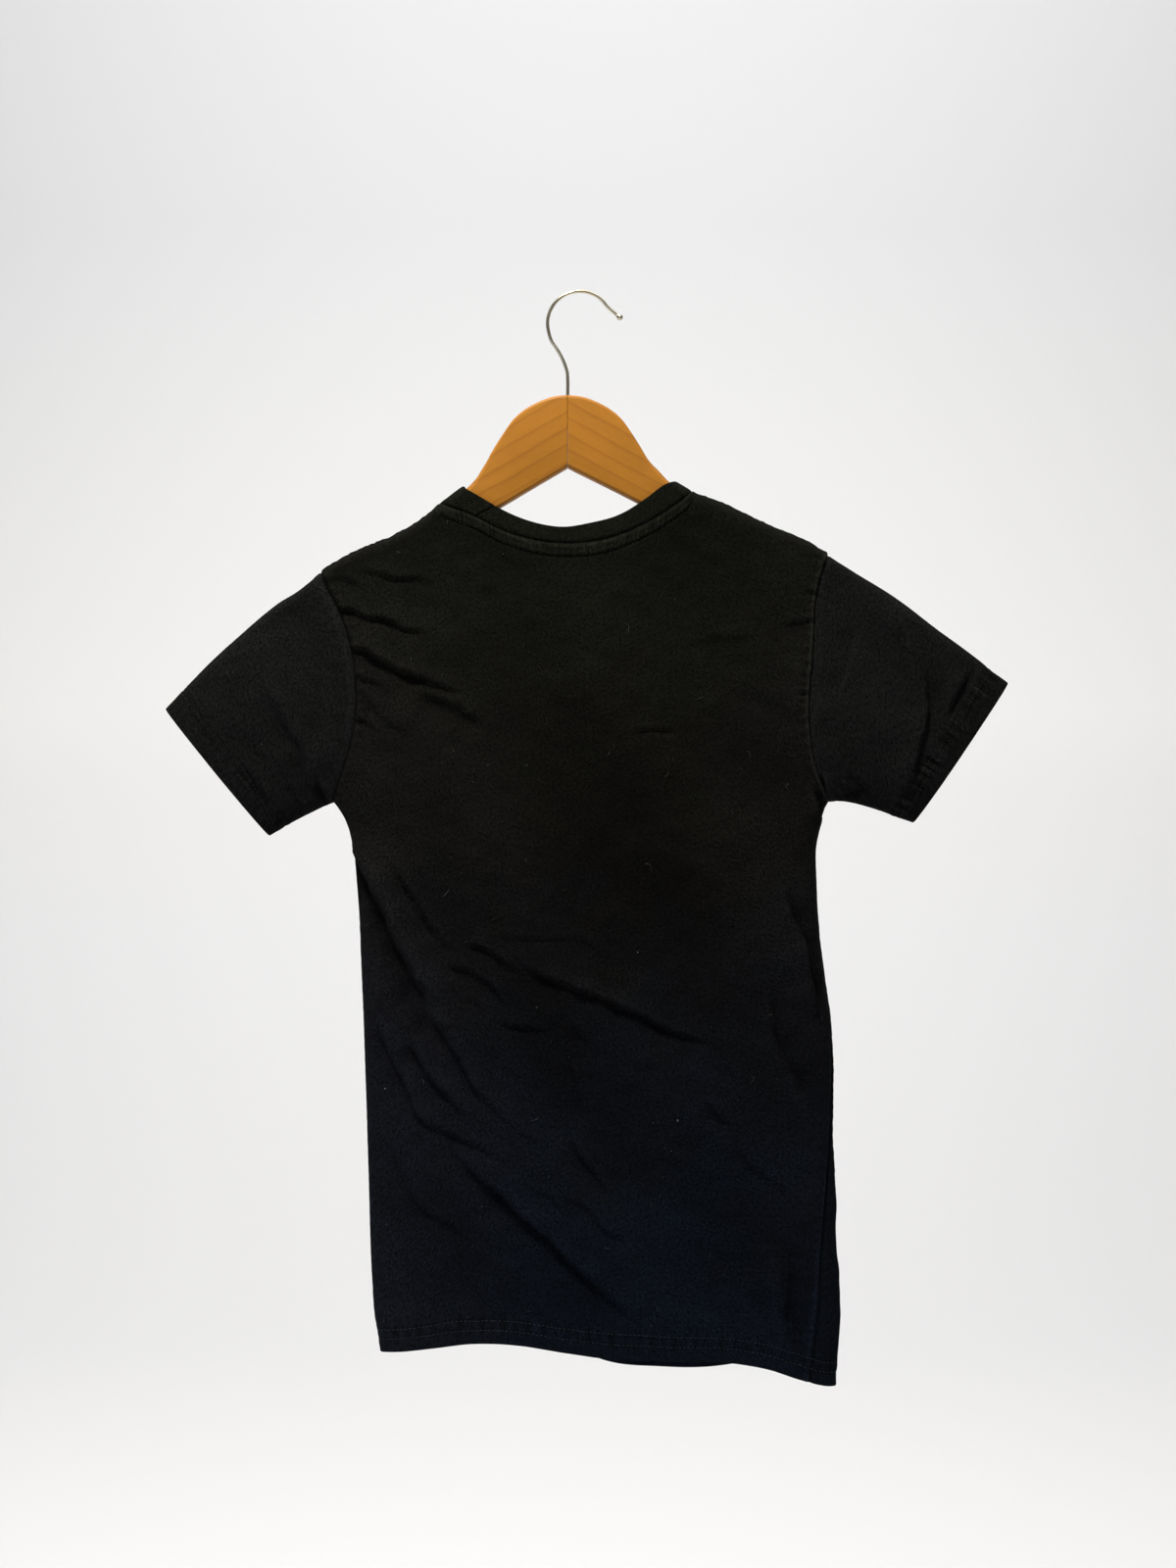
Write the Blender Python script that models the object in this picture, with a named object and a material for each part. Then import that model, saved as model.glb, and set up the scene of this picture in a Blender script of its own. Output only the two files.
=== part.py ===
"""A short-sleeved crew neck t-shirt hanging on a small wooden hanger.

The origin is the inner top of the hanger's hook, +Z is up, and the back of the garment faces -Y.
Lengths are in millimetres and turn to metres where the meshes are made.

Every cloth piece is a wall laid on one drape. A place on the drape is named by how far along the cloth
it lies below the fold line, where the garment turns over the hanger's arms, and by how far it stands
off the garment's middle plane. Panels, sleeves and neckband take their seam points from that drape,
so neighbours meet edge to edge.
"""

from math import pi

import bpy
import numpy as np
from mathutils import Vector

MM = 0.001

# Cloth
WALL = 1.2
HEM_WALL = 2.2
RIB_WALL = 1.7
SEAM_GAP = 0.3
BACK, FRONT = -1, 1
LEFT, RIGHT = -1, 1

# Drape
FOLD_RADIUS = 8.0
ARMPIT_DEPTH = 170.0
HEM_DEPTH = 575.0
SHOULDER_SEAM = {LEFT: 4.0, RIGHT: 0.4}
FRONT_SCOOP = 6.0
FRONT_PEEK = 12.9
FRONT_PEEK_MIDDLE = 58.0
FRONT_PEEK_HALF = 62.0

# Neck
NECK_LEFT = -101.5
NECK_RIGHT = 79.1
NECK_LEFT_Z = -150.9
NECK_RIGHT_Z = -142.5
NECK_CORNER = 1.6
NECK_SCOOP_POWER = 2.3
BAND_LEFT = -84.0
BAND_RIGHT = 66.5
BAND_LEFT_Z = -139.8
BAND_RIGHT_Z = -135.8
FRONT_NECK_DROP = 76.0
FRONT_BAND_DROP = 76.5
BAND_LEAN = 1.5

# Sleeves
CUFF_HALF_DEPTH = 11.0
SLEEVE_SWELL = 2.5

# Hanger
HANGER_X = -9.6
HUMP_TOP = -73.5
ARM_THICKNESS = 12.0
ARM_EDGE_RADIUS = 2.6
ARM_TOP_RADIUS = 5.6
ARM_UNDER_CLOTH = 1.15
ARM_UNDER_RIB = 2.1
JOINT_GAP = 0.3
TIP_LEFT = -178.0
TIP_RIGHT = 168.0
BORE_DEPTH = 24.0
BORE_CLEARANCE = 0.3
TIP_LENGTH = 16.0
CORNER_STEPS = 2

# Hook
WIRE_RADIUS = 1.2
HOOK_RADIUS = 23.0
HOOK_CENTRE_X = -1.0
BALL_RADIUS = 2.2
BALL_NECK = 34.0
WIRE_SIDES = 10


def table(columns, *rows):
    """Named columns of a short table, each as an array."""
    return dict(zip(columns.split(), np.array(rows, float).T))


# The fold line: the top of the shoulders, with the hanger's slope between them.
FOLD_LINE = table(
    "x z",
    (-192, -203.0),
    (-172, -190.9),
    (-157, -182.9),
    (-136, -174.5),
    (-112, -160.6),
    (-99.4, -150.0),
    (-86, -140.8),
    (-80.6, -136.6),
    (-76.5, -132.4),
    (-70, -124.0),
    (-60, -114.0),
    (-9.6, -100.0),
    (44, -114.0),
    (54.4, -124.0),
    (62.2, -132.4),
    (67.5, -136.4),
    (79, -142.4),
    (98.7, -149.7),
    (133, -165.9),
    (163.8, -179.2),
    (186, -195.0),
)

# Side edges of the body below the armpits.
SIDES = table(
    "z left right",
    (-362.8, -177.8, 177.0),
    (-371.0, -171.8, 173.8),
    (-379.0, -167.8, 171.4),
    (-393.0, -163.8, 168.2),
    (-421.0, -161.0, 168.0),
    (-449.0, -158.9, 169.6),
    (-477.0, -157.5, 173.0),
    (-505.0, -156.3, 177.0),
    (-533.0, -155.4, 179.2),
    (-589.0, -153.4, 180.6),
    (-645.0, -151.9, 181.5),
    (-701.0, -149.8, 183.4),
    (-729.0, -147.7, 184.8),
    (-756.0, -143.6, 184.0),
    (-781.0, -141.0, 181.6),
)

# Armhole seams from the shoulder point down to the armpit.
ARMHOLES = table(
    "left_z left_x right_z right_x",
    (-197.5, -187.2, -188.0, 176.0),
    (-211.0, -181.2, -204.0, 170.4),
    (-228.0, -172.4, -220.0, 167.0),
    (-248.0, -165.4, -238.0, 165.9),
    (-270.0, -161.3, -266.0, 164.4),
    (-291.0, -160.1, -284.0, 162.7),
    (-309.0, -161.5, -302.0, 162.3),
    (-330.0, -166.2, -320.0, 163.5),
    (-348.0, -172.4, -341.0, 167.8),
    (-362.8, -177.8, -362.8, 177.0),
)

# Hem of the back panel.
HEM = table(
    "x z",
    (-150, -756.0),
    (-128, -754.3),
    (-107, -751.3),
    (-76, -747.2),
    (-44, -748.1),
    (-12, -752.9),
    (19, -757.2),
    (61, -759.3),
    (113, -761.9),
    (134, -766.4),
    (155, -774.2),
    (176, -780.2),
    (190, -781.0),
)

# Seam of the neckband to the back panel, and the band's free edge above it.
BACK_NECK = table(
    "x z",
    (-101.5, -150.9),
    (-78, -159.0),
    (-58, -169.2),
    (-37, -176.2),
    (-9, -179.3),
    (19, -175.9),
    (40, -168.1),
    (54, -160.6),
    (68, -151.4),
    (79.1, -142.5),
)
BACK_BAND = table(
    "x z",
    (-84, -139.8),
    (-72, -146.6),
    (-58, -154.8),
    (-44, -161.3),
    (-30, -165.7),
    (-12.6, -168.0),
    (5, -165.5),
    (29, -158.5),
    (47, -147.2),
    (60, -137.8),
    (66.5, -135.8),
)

# How far the middle of each section stands off the middle plane, by the depth below the shoulder seam.
HALF_DEPTH = table(
    "depth back front",
    (0, 9.0, 9.0),
    (50, 10.8, 11.2),
    (110, 14.5, 15.5),
    (170, 18.5, 19.5),
    (290, 20.0, 21.0),
    (430, 19.5, 21.0),
    (575, 16.5, 18.0),
)

# The same at the armhole seams, from the shoulder point (0) to the armpit (1).
ARMHOLE_DEPTH = table("part half", (0, 8.8), (0.3, 10.6), (0.6, 12.2), (0.8, 12.6), (1, 12.6))

# How far the right side seam lies on the back, inside the body's right edge.
SIDE_SEAM_TURN = table(
    "z turn",
    (-530, 0.0),
    (-590, 2.6),
    (-635, 6.0),
    (-702, 13.0),
    (-765, 18.0),
    (-790, 19.0),
)

# Silhouette of each sleeve, from the armhole (0) to the cuff (1).
SLEEVE_TOP = table(
    "part left_x left_z right_x right_z",
    (0.0, -187.2, -200.0, 176.0, -187.9),
    (0.12, -200.9, -211.2, 192.5, -198.3),
    (0.32, -220.6, -223.8, 221.9, -216.0),
    (0.55, -246.0, -246.0, 250.6, -237.3),
    (0.78, -271.0, -269.4, 276.4, -256.2),
    (1.0, -297.2, -297.4, 305.2, -279.0),
)
SLEEVE_UNDER = table(
    "part left_x left_z right_x right_z",
    (0.0, -177.8, -362.8, 177.0, -362.8),
    (0.3, -190.0, -369.0, 191.5, -363.6),
    (0.65, -206.0, -377.4, 212.0, -369.0),
    (1.0, -223.4, -387.6, 238.0, -378.2),
)

# Largest soft folds: a trough from one end to the other, its half width and its depth.
BACK_FOLDS = table(
    "x0 z0 x1 z1 half_width depth",
    (-156, -404, -104, -512, 11, 3.6),
    (-108, -505, -68, -577, 10, 2.4),
    (-88, -462, 5, -506, 9, 2.2),
    (0, -503, 100, -543, 9, 2.0),
    (-146, -536, -104, -592, 9, 2.2),
    (-104, -592, -44, -622, 9, 1.8),
    (-68, -634, 30, -724, 13, 3.0),
    (84, -570, 152, -655, 12, 1.6),
    (-158, -256, -68, -290, 9, 2.0),
)
FRONT_FOLDS = table(
    "x0 z0 x1 z1 half_width depth",
    (150, -400, 96, -505, 12, 3.4),
    (100, -500, 58, -580, 11, 2.4),
    (70, -470, -60, -520, 10, 2.2),
    (140, -560, 60, -640, 11, 2.4),
    (30, -610, -60, -715, 14, 3.0),
    (-130, -560, -90, -660, 12, 2.0),
    (150, -262, 70, -292, 10, 1.8),
)

# The hanger's hump either side of its middle, and the arms' lower edges.
HUMP = table(
    "out drop",
    (0, 0.0),
    (11, 1.4),
    (22.5, 5.8),
    (30, 10.0),
    (39.5, 18.4),
    (45.5, 26.8),
    (51, 35.2),
    (56.3, 43.8),
    (62.3, 51.8),
    (67, 58.0),
)
ARM_UNDERSIDE = table(
    "out left_z right_z",
    (0, -124.9, -124.9),
    (6, -128.5, -128.0),
    (13.5, -132.9, -131.7),
    (42, -149.8, -146.0),
    (90, -178.0, -171.5),
    (140, -203.0, -197.0),
    (180, -222.0, -214.0),
)

# The wire between the shank and the round of the hook, and its flicked end.
HOOK_NECK = table("x z", (-11.0, -53.0), (-13.6, -46.5), (-17.6, -39.6), (-21.4, -33.8))
HOOK_FLICK = table("x z", (21.9, -12.6), (26.2, -16.2))


def smooth(x, xs, ys):
    """A smooth curve through the table's points, held at its ends."""
    order = np.argsort(xs)
    xs, ys = xs[order], ys[order]
    x = np.clip(x, xs[0], xs[-1])
    step = np.diff(xs)
    rise = np.diff(ys) / step
    inner = (rise[:-1] * step[1:] + rise[1:] * step[:-1]) / (step[1:] + step[:-1])
    slope = np.concatenate([rise[:1], inner, rise[-1:]])
    i = np.clip(np.searchsorted(xs, x, side="right") - 1, 0, len(step) - 1)
    t = (x - xs[i]) / step[i]
    start = ys[i] * (1 + 2 * t) * (1 - t) ** 2 + slope[i] * step[i] * t * (1 - t) ** 2
    end = ys[i + 1] * t**2 * (3 - 2 * t) - slope[i + 1] * step[i] * t**2 * (1 - t)
    return start + end


def fold_height(x):
    return smooth(x, FOLD_LINE["x"], FOLD_LINE["z"])


def drop_of(arc):
    """How far below the fold line the cloth has come after this length of it."""
    turned = np.minimum(np.abs(arc) / FOLD_RADIUS, pi / 2)
    return FOLD_RADIUS * (1 - np.cos(turned)) + np.abs(arc) - FOLD_RADIUS * turned


def fullness(arc):
    """0 on the fold line and 1 once the cloth hangs down; negative past the fold, on the other side."""
    return np.sign(arc) * np.sin(np.minimum(np.abs(arc) / FOLD_RADIUS, pi / 2))


def arc_of(drop):
    """The length of cloth that comes this far below the fold line."""
    drop = np.maximum(drop, 0.0)
    turn = FOLD_RADIUS * np.arccos(np.clip(1 - drop / FOLD_RADIUS, 0, 1))
    return np.where(drop < FOLD_RADIUS, turn, drop - FOLD_RADIUS + FOLD_RADIUS * pi / 2)


def drape(x, arc, half, face):
    """Points of the drape, with the given distance off the middle plane."""
    return np.stack([x, face * half * fullness(arc), fold_height(x) - drop_of(arc)], axis=-1)


def front_neck_height(x, left, right, left_z, right_z, drop):
    """A scooped curve between the two neck points."""
    across = np.clip((x - left) / (right - left), 0, 1)
    return left_z + (right_z - left_z) * across - drop * (1 - np.abs(2 * across - 1) ** NECK_SCOOP_POWER)


def neck_height(x, face):
    if face == BACK:
        return smooth(x, BACK_NECK["x"], BACK_NECK["z"])
    start = NECK_LEFT + NECK_CORNER
    return front_neck_height(x, start, NECK_RIGHT, NECK_LEFT_Z, NECK_RIGHT_Z, FRONT_NECK_DROP)


def band_height(x, face):
    if face == BACK:
        return smooth(x, BACK_BAND["x"], BACK_BAND["z"])
    return front_neck_height(x, BAND_LEFT, BAND_RIGHT, BAND_LEFT_Z, BAND_RIGHT_Z, FRONT_BAND_DROP)


def hem_height(x, face):
    peek = 0.0
    if face == FRONT:
        peek = FRONT_PEEK * np.exp(-(((x - FRONT_PEEK_MIDDLE) / FRONT_PEEK_HALF) ** 4))
    return smooth(x, HEM["x"], HEM["z"]) - peek


def seam_arc(side, face):
    """Where a panel starts at the shoulder: the front turns over the fold on to the back."""
    return -face * SHOULDER_SEAM[side]


def row_depths():
    """Rows of the body, by their depth below the shoulder seam: close at the folds, armpit and hem."""
    shoulder = [0, 4, 8, 13, 21]
    yoke = np.linspace(34, 146, 8)
    armpit = [156, 164, ARMPIT_DEPTH, 176, 186]
    skirt = np.linspace(206, HEM_DEPTH - 34, 14)
    hem = [HEM_DEPTH - 17, HEM_DEPTH]
    return np.concatenate([shoulder, yoke, armpit, skirt, hem])


DEPTHS = row_depths()
ARMPIT_ROW = int(np.argmin(abs(DEPTHS - ARMPIT_DEPTH)))


def edge_x(side, z):
    """The body's edge at this height: the armhole seam, then the side."""
    name = "left" if side == LEFT else "right"
    armhole = smooth(z, ARMHOLES[name + "_z"], ARMHOLES[name + "_x"])
    below = smooth(z, SIDES["z"], SIDES[name])
    return np.where(z > SIDES["z"][0], armhole, below) - side * WALL / 2


def arc_to_height(side, z, turn=0.0):
    """The length of cloth from the fold line down to this height, along the body's edge."""
    return arc_of(fold_height(edge_x(side, z) - side * turn) - z)


def edge(side, face):
    """Each row's end on this side: its x, its length below the fold line and its distance off the middle."""
    start = seam_arc(side, face)
    armpit = arc_to_height(side, SIDES["z"][0] - 0.01)
    turn = smooth(-1000.0, SIDE_SEAM_TURN["z"], SIDE_SEAM_TURN["turn"]) if side == RIGHT else 0.0
    hem_x = edge_x(side, SIDES["z"][-2]) - side * turn
    hem = arc_of(fold_height(hem_x) - smooth(hem_x, HEM["x"], HEM["z"]))
    upper = start + (armpit - start) * DEPTHS / ARMPIT_DEPTH
    lower = armpit + (hem - armpit) * (DEPTHS - ARMPIT_DEPTH) / (HEM_DEPTH - ARMPIT_DEPTH)
    arc = np.where(DEPTHS <= ARMPIT_DEPTH, upper, lower)
    x = np.full(len(arc), edge_x(side, -260.0))
    for _ in range(12):
        x = edge_x(side, fold_height(x) - drop_of(arc))
    part = np.clip(DEPTHS / ARMPIT_DEPTH, 0, 1)
    if face == FRONT:
        x = x - side * FRONT_SCOOP * np.sin(pi * part) ** 2
    half = smooth(part, ARMHOLE_DEPTH["part"], ARMHOLE_DEPTH["half"]) * np.sqrt(1 - part**6)
    return x, arc, half


def neck_seam(face, count):
    """The neckline as places on the drape, from the left shoulder seam to the right one."""
    start = NECK_LEFT + (NECK_CORNER if face == FRONT else 0.0)
    x = start + (NECK_RIGHT - start) * (1 - np.cos(np.linspace(0, pi, 400))) / 2
    arc = arc_of(fold_height(x) - neck_height(x, face))
    first, last = seam_arc(LEFT, face), seam_arc(RIGHT, face)
    keep = (arc > max(first, 0.0)) | ((x > 0) & (arc > max(last, 0.0)))
    x = np.concatenate([[NECK_LEFT], x[keep], [NECK_RIGHT]])
    arc = np.concatenate([[first], arc[keep], [last]])
    along = np.concatenate([[0], np.cumsum(np.hypot(np.diff(x), np.diff(arc)))])
    turn = np.array([0, 4, 8, 13])
    stops = np.concatenate([turn, np.linspace(22, along[-1] - 22, count), along[-1] - turn[::-1]])
    return np.interp(stops, along, x), np.interp(stops, along, arc)


NECK = {BACK: neck_seam(BACK, 9), FRONT: neck_seam(FRONT, 12)}


def relief(x, z, folds):
    """The depth of the soft folds at these places."""
    depth = np.zeros_like(x)
    for x0, z0, x1, z1, half_width, most in zip(*folds.values()):
        length = np.hypot(x1 - x0, z1 - z0)
        ux, uz = (x1 - x0) / length, (z1 - z0) / length
        along = (x - x0) * ux + (z - z0) * uz
        off = (x - x0) * uz - (z - z0) * ux
        ends = np.clip(along / length, 0, 1)
        past_end = along - ends * length
        taper = np.exp(-((past_end / half_width) ** 2)) * np.sin(pi * (0.12 + 0.76 * ends)) ** 0.7
        depth += most * taper * np.exp(-((off / half_width) ** 2))
    return depth


def half_depth(face):
    """How far each row's middle stands off the middle plane, on this face."""
    return smooth(DEPTHS, HALF_DEPTH["depth"], HALF_DEPTH["back" if face == BACK else "front"])[:, None]


def panel_columns(face):
    """Where each column lies: at the top, as places on the drape, and lower down, as a part of the width."""
    x, arc = NECK[face]
    left = edge(LEFT, face)[0][0]
    right = edge(RIGHT, face)[0][0]
    outer = np.linspace(0, 1, 7)[:-1]
    left_part = (NECK_LEFT - left) / (right - left)
    right_part = (NECK_RIGHT - left) / (right - left)
    part = np.concatenate(
        [
            left_part * outer**1.5,
            np.linspace(left_part, right_part, len(x)),
            1 - (1 - right_part) * outer[::-1] ** 1.5,
        ]
    )
    top_x = left + (right - left) * part
    neck = slice(len(outer), len(outer) + len(x))
    top_x[neck] = x
    top_arc = np.where(part < 0.5, seam_arc(LEFT, face), seam_arc(RIGHT, face)).astype(float)
    top_arc[neck] = arc
    return part, top_x, top_arc, neck


def panel(face):
    """The front or back as rows of points, from the shoulders and neckline down to the hem."""
    part, top_x, top_arc, neck = panel_columns(face)
    left_x, left_arc, left_half = edge(LEFT, face)
    right_x, right_arc, right_half = edge(RIGHT, face)
    height = fold_height(right_x) - drop_of(right_arc)
    turn = smooth(height, SIDE_SEAM_TURN["z"], SIDE_SEAM_TURN["turn"])
    turn_angle = np.arccos(1 - 2 * turn / (right_x - left_x))
    angle = np.arccos(1 - 2 * part)[None, :] * (1 + face * turn_angle / pi)[:, None]
    across = (1 - np.cos(angle)) / 2
    x = left_x[:, None] + (right_x - left_x)[:, None] * across
    spread = np.exp(-((DEPTHS / 70.0) ** 1.4))[:, None]
    x = x + spread * (top_x - x[0])[None, :]

    down = (DEPTHS / HEM_DEPTH)[:, None]
    bottom_arc = arc_of(fold_height(x[-1]) - hem_height(x[-1], face))
    arc = (1 - down) * top_arc + down * bottom_arc
    arc = arc + (1 - part) * (left_arc[:, None] - arc[:, :1]) + part * (right_arc[:, None] - arc[:, -1:])

    middle = np.where(np.sin(angle) < 0, half_depth(-face), half_depth(face))
    seam_half = (1 - part) * left_half[:, None] + part * right_half[:, None]
    swell = np.sqrt(seam_half**2 + (middle**2 - seam_half**2) * np.sin(angle) ** 2)
    half = np.where((DEPTHS >= ARMPIT_DEPTH)[:, None], middle * np.sin(angle), swell)
    points = drape(x, arc, half, face)
    fade = np.clip(12 * part * (1 - part), 0, 1)[None, :] * np.clip(DEPTHS / 60, 0, 1)[:, None]
    folds = BACK_FOLDS if face == BACK else FRONT_FOLDS
    points[..., 1] -= face * fade * relief(points[..., 0], points[..., 2], folds)
    seam = x[0, neck], arc[0, neck], half[0, neck]
    return points, seam


def joined_loop(back, front):
    """A closed loop from the back's points, left to right, and the front's, right to left."""
    return np.concatenate([back, front[-2:0:-1]])


def silhouette(line, name, side, length):
    """The cloth's middle along one edge of a sleeve, half a wall inside its outline."""
    x = smooth(length, line["part"], line[name + "_x"]) - side * WALL / 2
    return np.stack([x, smooth(length, line["part"], line[name + "_z"])], axis=-1)[:, None, :]


def sleeve(side, panels):
    """A sleeve as rings of points, from the armhole seam to the cuff."""
    name = "left" if side == LEFT else "right"
    column = 0 if side == LEFT else -1
    rows = slice(0, ARMPIT_ROW + 1)
    parts, seams, faces = [], [], []
    for face in (BACK, FRONT):
        arc = edge(side, face)[1][rows]
        parts.append(arc / arc[-1])
        seams.append(panels[face][rows, column])
        faces.append(np.full(len(arc), float(face)))
    part = joined_loop(*parts)
    seam = joined_loop(*seams)
    face = joined_loop(*faces)
    over = abs(part)[None, :, None]
    length = np.array([0, 0.05, 0.14, 0.27, 0.42, 0.58, 0.73, 0.87, 1.0])
    top, under = (silhouette(line, name, side, length) for line in (SLEEVE_TOP, SLEEVE_UNDER))
    along = length[:, None, None]
    flat_seam = seam[None, :, [0, 2]]
    cuff = (1 - over) * top[-1:] + over * under[-1:]
    flat = (1 - along) * flat_seam + along * cuff
    flat = flat + (1 - over) * (top - (1 - along) * top[:1] - along * top[-1:])
    flat = flat + over * (under - (1 - along) * under[:1] - along * under[-1:])
    round_off = np.sqrt(4 * abs(part) * (1 - abs(part)))
    cuff_y = face * np.sign(part) * CUFF_HALF_DEPTH * round_off
    swell = face * SLEEVE_SWELL * round_off
    depth = (1 - along[..., 0]) * seam[:, 1] + along[..., 0] * cuff_y + np.sin(pi * along[..., 0]) * swell
    return np.stack([flat[..., 0], depth, flat[..., 1]], axis=-1)


def neckband(seams):
    """The rib band as rings of points, from its seam to its free edge."""
    seam, edge_points = [], []
    for face in (BACK, FRONT):
        x, arc, half = seams[face]
        part = (x - NECK_LEFT) / (NECK_RIGHT - NECK_LEFT)
        top_x = BAND_LEFT + (BAND_RIGHT - BAND_LEFT) * part
        top_arc = arc_of(fold_height(top_x) - band_height(top_x, face))
        if face == FRONT:
            top_arc = np.minimum(arc, top_arc)
        seam.append(drape(x, arc, half, face))
        lean = BAND_LEAN * (1 - np.abs(2 * part - 1) ** 3)
        edge_points.append(drape(top_x, top_arc, half - lean, face))
    low, high = joined_loop(*seam), joined_loop(*edge_points)
    return np.stack([low + (high - low) * step for step in (0.0, 0.5, 1.0)])


def grid_normals(points, closed):
    """Unit normals of a grid of points; a closed grid joins its last column to its first."""
    if closed:
        wide = np.concatenate([points[:, -1:], points, points[:, :1]], axis=1)
        across = (wide[:, 2:] - wide[:, :-2])
    else:
        across = np.gradient(points, axis=1)
    down = np.gradient(points, axis=0)
    normal = np.cross(across, down)
    return normal / np.linalg.norm(normal, axis=-1, keepdims=True)


class Piece:
    """One cut piece: its middle surface, which borders are seams, and how thick its rows are."""

    def __init__(self, name, points, closed, seams, walls, outward):
        self.name = name
        self.points = points
        self.closed = closed
        self.seams = seams
        self.walls = walls
        self.outward = outward
        self.normals = grid_normals(points, closed) * outward

    def border(self):
        """Index pairs of the points on the grid's border."""
        rows, columns = self.points.shape[:2]
        for i in range(rows):
            for j in range(columns):
                if i in (0, rows - 1) or (not self.closed and j in (0, columns - 1)):
                    yield i, j


def share_normals(pieces):
    """Gives neighbours one normal where their borders meet, so that their edges stand parallel."""
    meeting = {}
    for piece in pieces:
        for i, j in piece.border():
            key = tuple(np.round(piece.points[i, j], 1))
            meeting.setdefault(key, []).append((piece, i, j))
    for places in meeting.values():
        total = sum(piece.normals[i, j] for piece, i, j in places)
        for piece, i, j in places:
            piece.normals[i, j] = total / np.linalg.norm(total)


def drawn_in(border, inner, normals, closed):
    """How far to move a border, square to its seam and along the cloth, for half of the seam's gap."""
    if closed:
        along = np.roll(border, -1, axis=0) - np.roll(border, 1, axis=0)
    else:
        along = np.gradient(border, axis=0)
    square = np.cross(normals, along)
    square /= np.linalg.norm(square, axis=-1, keepdims=True)
    return square * np.sign(np.sum(square * (inner - border))) * SEAM_GAP / 2


def pull_back(piece):
    """The piece's middle surface with its seam borders drawn in."""
    points, normals = piece.points, piece.normals
    moved = points.copy()
    if "top" in piece.seams:
        moved[0] += drawn_in(points[0], points[1], normals[0], piece.closed)
    if "sides" in piece.seams:
        for column, inner in ((0, 1), (-1, -2)):
            moved[:, column] += drawn_in(points[:, column], points[:, inner], normals[:, column], False)
    return moved


def wall_mesh(piece):
    """A closed wall round the piece's middle surface."""
    middle = pull_back(piece)
    rows, columns = middle.shape[:2]
    half = (piece.walls / 2)[:, None, None] * piece.normals * piece.outward
    verts = np.concatenate([(middle + half).reshape(-1, 3), (middle - half).reshape(-1, 3)])
    count = rows * columns

    def at(i, j, layer):
        return layer * count + i * columns + j % columns

    faces = []
    last = columns if piece.closed else columns - 1
    for i in range(rows - 1):
        for j in range(last):
            faces.append((at(i, j, 0), at(i, j + 1, 0), at(i + 1, j + 1, 0), at(i + 1, j, 0)))
            faces.append((at(i, j, 1), at(i + 1, j, 1), at(i + 1, j + 1, 1), at(i, j + 1, 1)))
    for j in range(last):
        faces.append((at(0, j, 0), at(0, j, 1), at(0, j + 1, 1), at(0, j + 1, 0)))
        faces.append((at(rows - 1, j, 0), at(rows - 1, j + 1, 0), at(rows - 1, j + 1, 1), at(rows - 1, j, 1)))
    if not piece.closed:
        for i in range(rows - 1):
            faces.append((at(i, 0, 0), at(i + 1, 0, 0), at(i + 1, 0, 1), at(i, 0, 1)))
            faces.append((at(i, last, 0), at(i, last, 1), at(i + 1, last, 1), at(i + 1, last, 0)))
    return verts, faces


def material(name, color, roughness, metallic=0.0):
    made = bpy.data.materials.new(name)
    made.use_nodes = True
    shader = made.node_tree.nodes["Principled BSDF"]
    shader.inputs["Base Color"].default_value = (*color, 1.0)
    shader.inputs["Roughness"].default_value = roughness
    shader.inputs["Metallic"].default_value = metallic
    return made


def add_object(name, verts, faces, finish, smooth_angle=pi / 4):
    """A named mesh object, with its faces turned out."""
    mesh = bpy.data.meshes.new(name)
    mesh.from_pydata([tuple(v) for v in np.asarray(verts) * MM], [], faces)
    mesh.validate()
    made = bpy.data.objects.new(name, mesh)
    bpy.context.scene.collection.objects.link(made)
    mesh.shade_smooth()
    mesh.set_sharp_from_angle(angle=smooth_angle)
    if finish:
        mesh.materials.append(finish)
    return made


def build_garment():
    jersey = material("black_jersey", (0.012, 0.013, 0.014), 0.9)
    rib = material("black_rib", (0.012, 0.013, 0.012), 0.92)
    panels, seams = {}, {}
    for face in (BACK, FRONT):
        panels[face], seams[face] = panel(face)
    body_walls = np.full(len(DEPTHS), WALL)
    body_walls[-2:] = HEM_WALL
    pieces = [
        Piece("back_panel", panels[BACK], False, {"top", "sides"}, body_walls, -1),
        Piece("front_panel", panels[FRONT], False, {"top", "sides"}, body_walls, 1),
    ]
    for side, name in ((LEFT, "sleeve_left"), (RIGHT, "sleeve_right")):
        rings = sleeve(side, panels)
        sleeve_walls = np.full(len(rings), WALL)
        sleeve_walls[-2:] = HEM_WALL
        pieces.append(Piece(name, rings, True, {"top"}, sleeve_walls, side))
    band = neckband(seams)
    pieces.append(Piece("neckband", band, True, {"top"}, np.full(len(band), RIB_WALL), 1))
    share_normals(pieces)
    for piece in pieces:
        add_object(piece.name, *wall_mesh(piece), rib if piece.name == "neckband" else jersey)


def hanger_top(x):
    """The upper edge of the hanger: its round hump, then just under the shoulders of the garment."""
    out = abs(x - HANGER_X)
    hump = HUMP_TOP - smooth(out, HUMP["out"], HUMP["drop"])
    past_rib = np.clip((out - 84) / 14, 0, 1)
    under_cloth = fold_height(x) - ARM_UNDER_RIB + (ARM_UNDER_RIB - ARM_UNDER_CLOTH) * past_rib
    blend = np.clip((out - 55) / 9, 0, 1)
    return hump * (1 - blend) + under_cloth * blend


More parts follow.
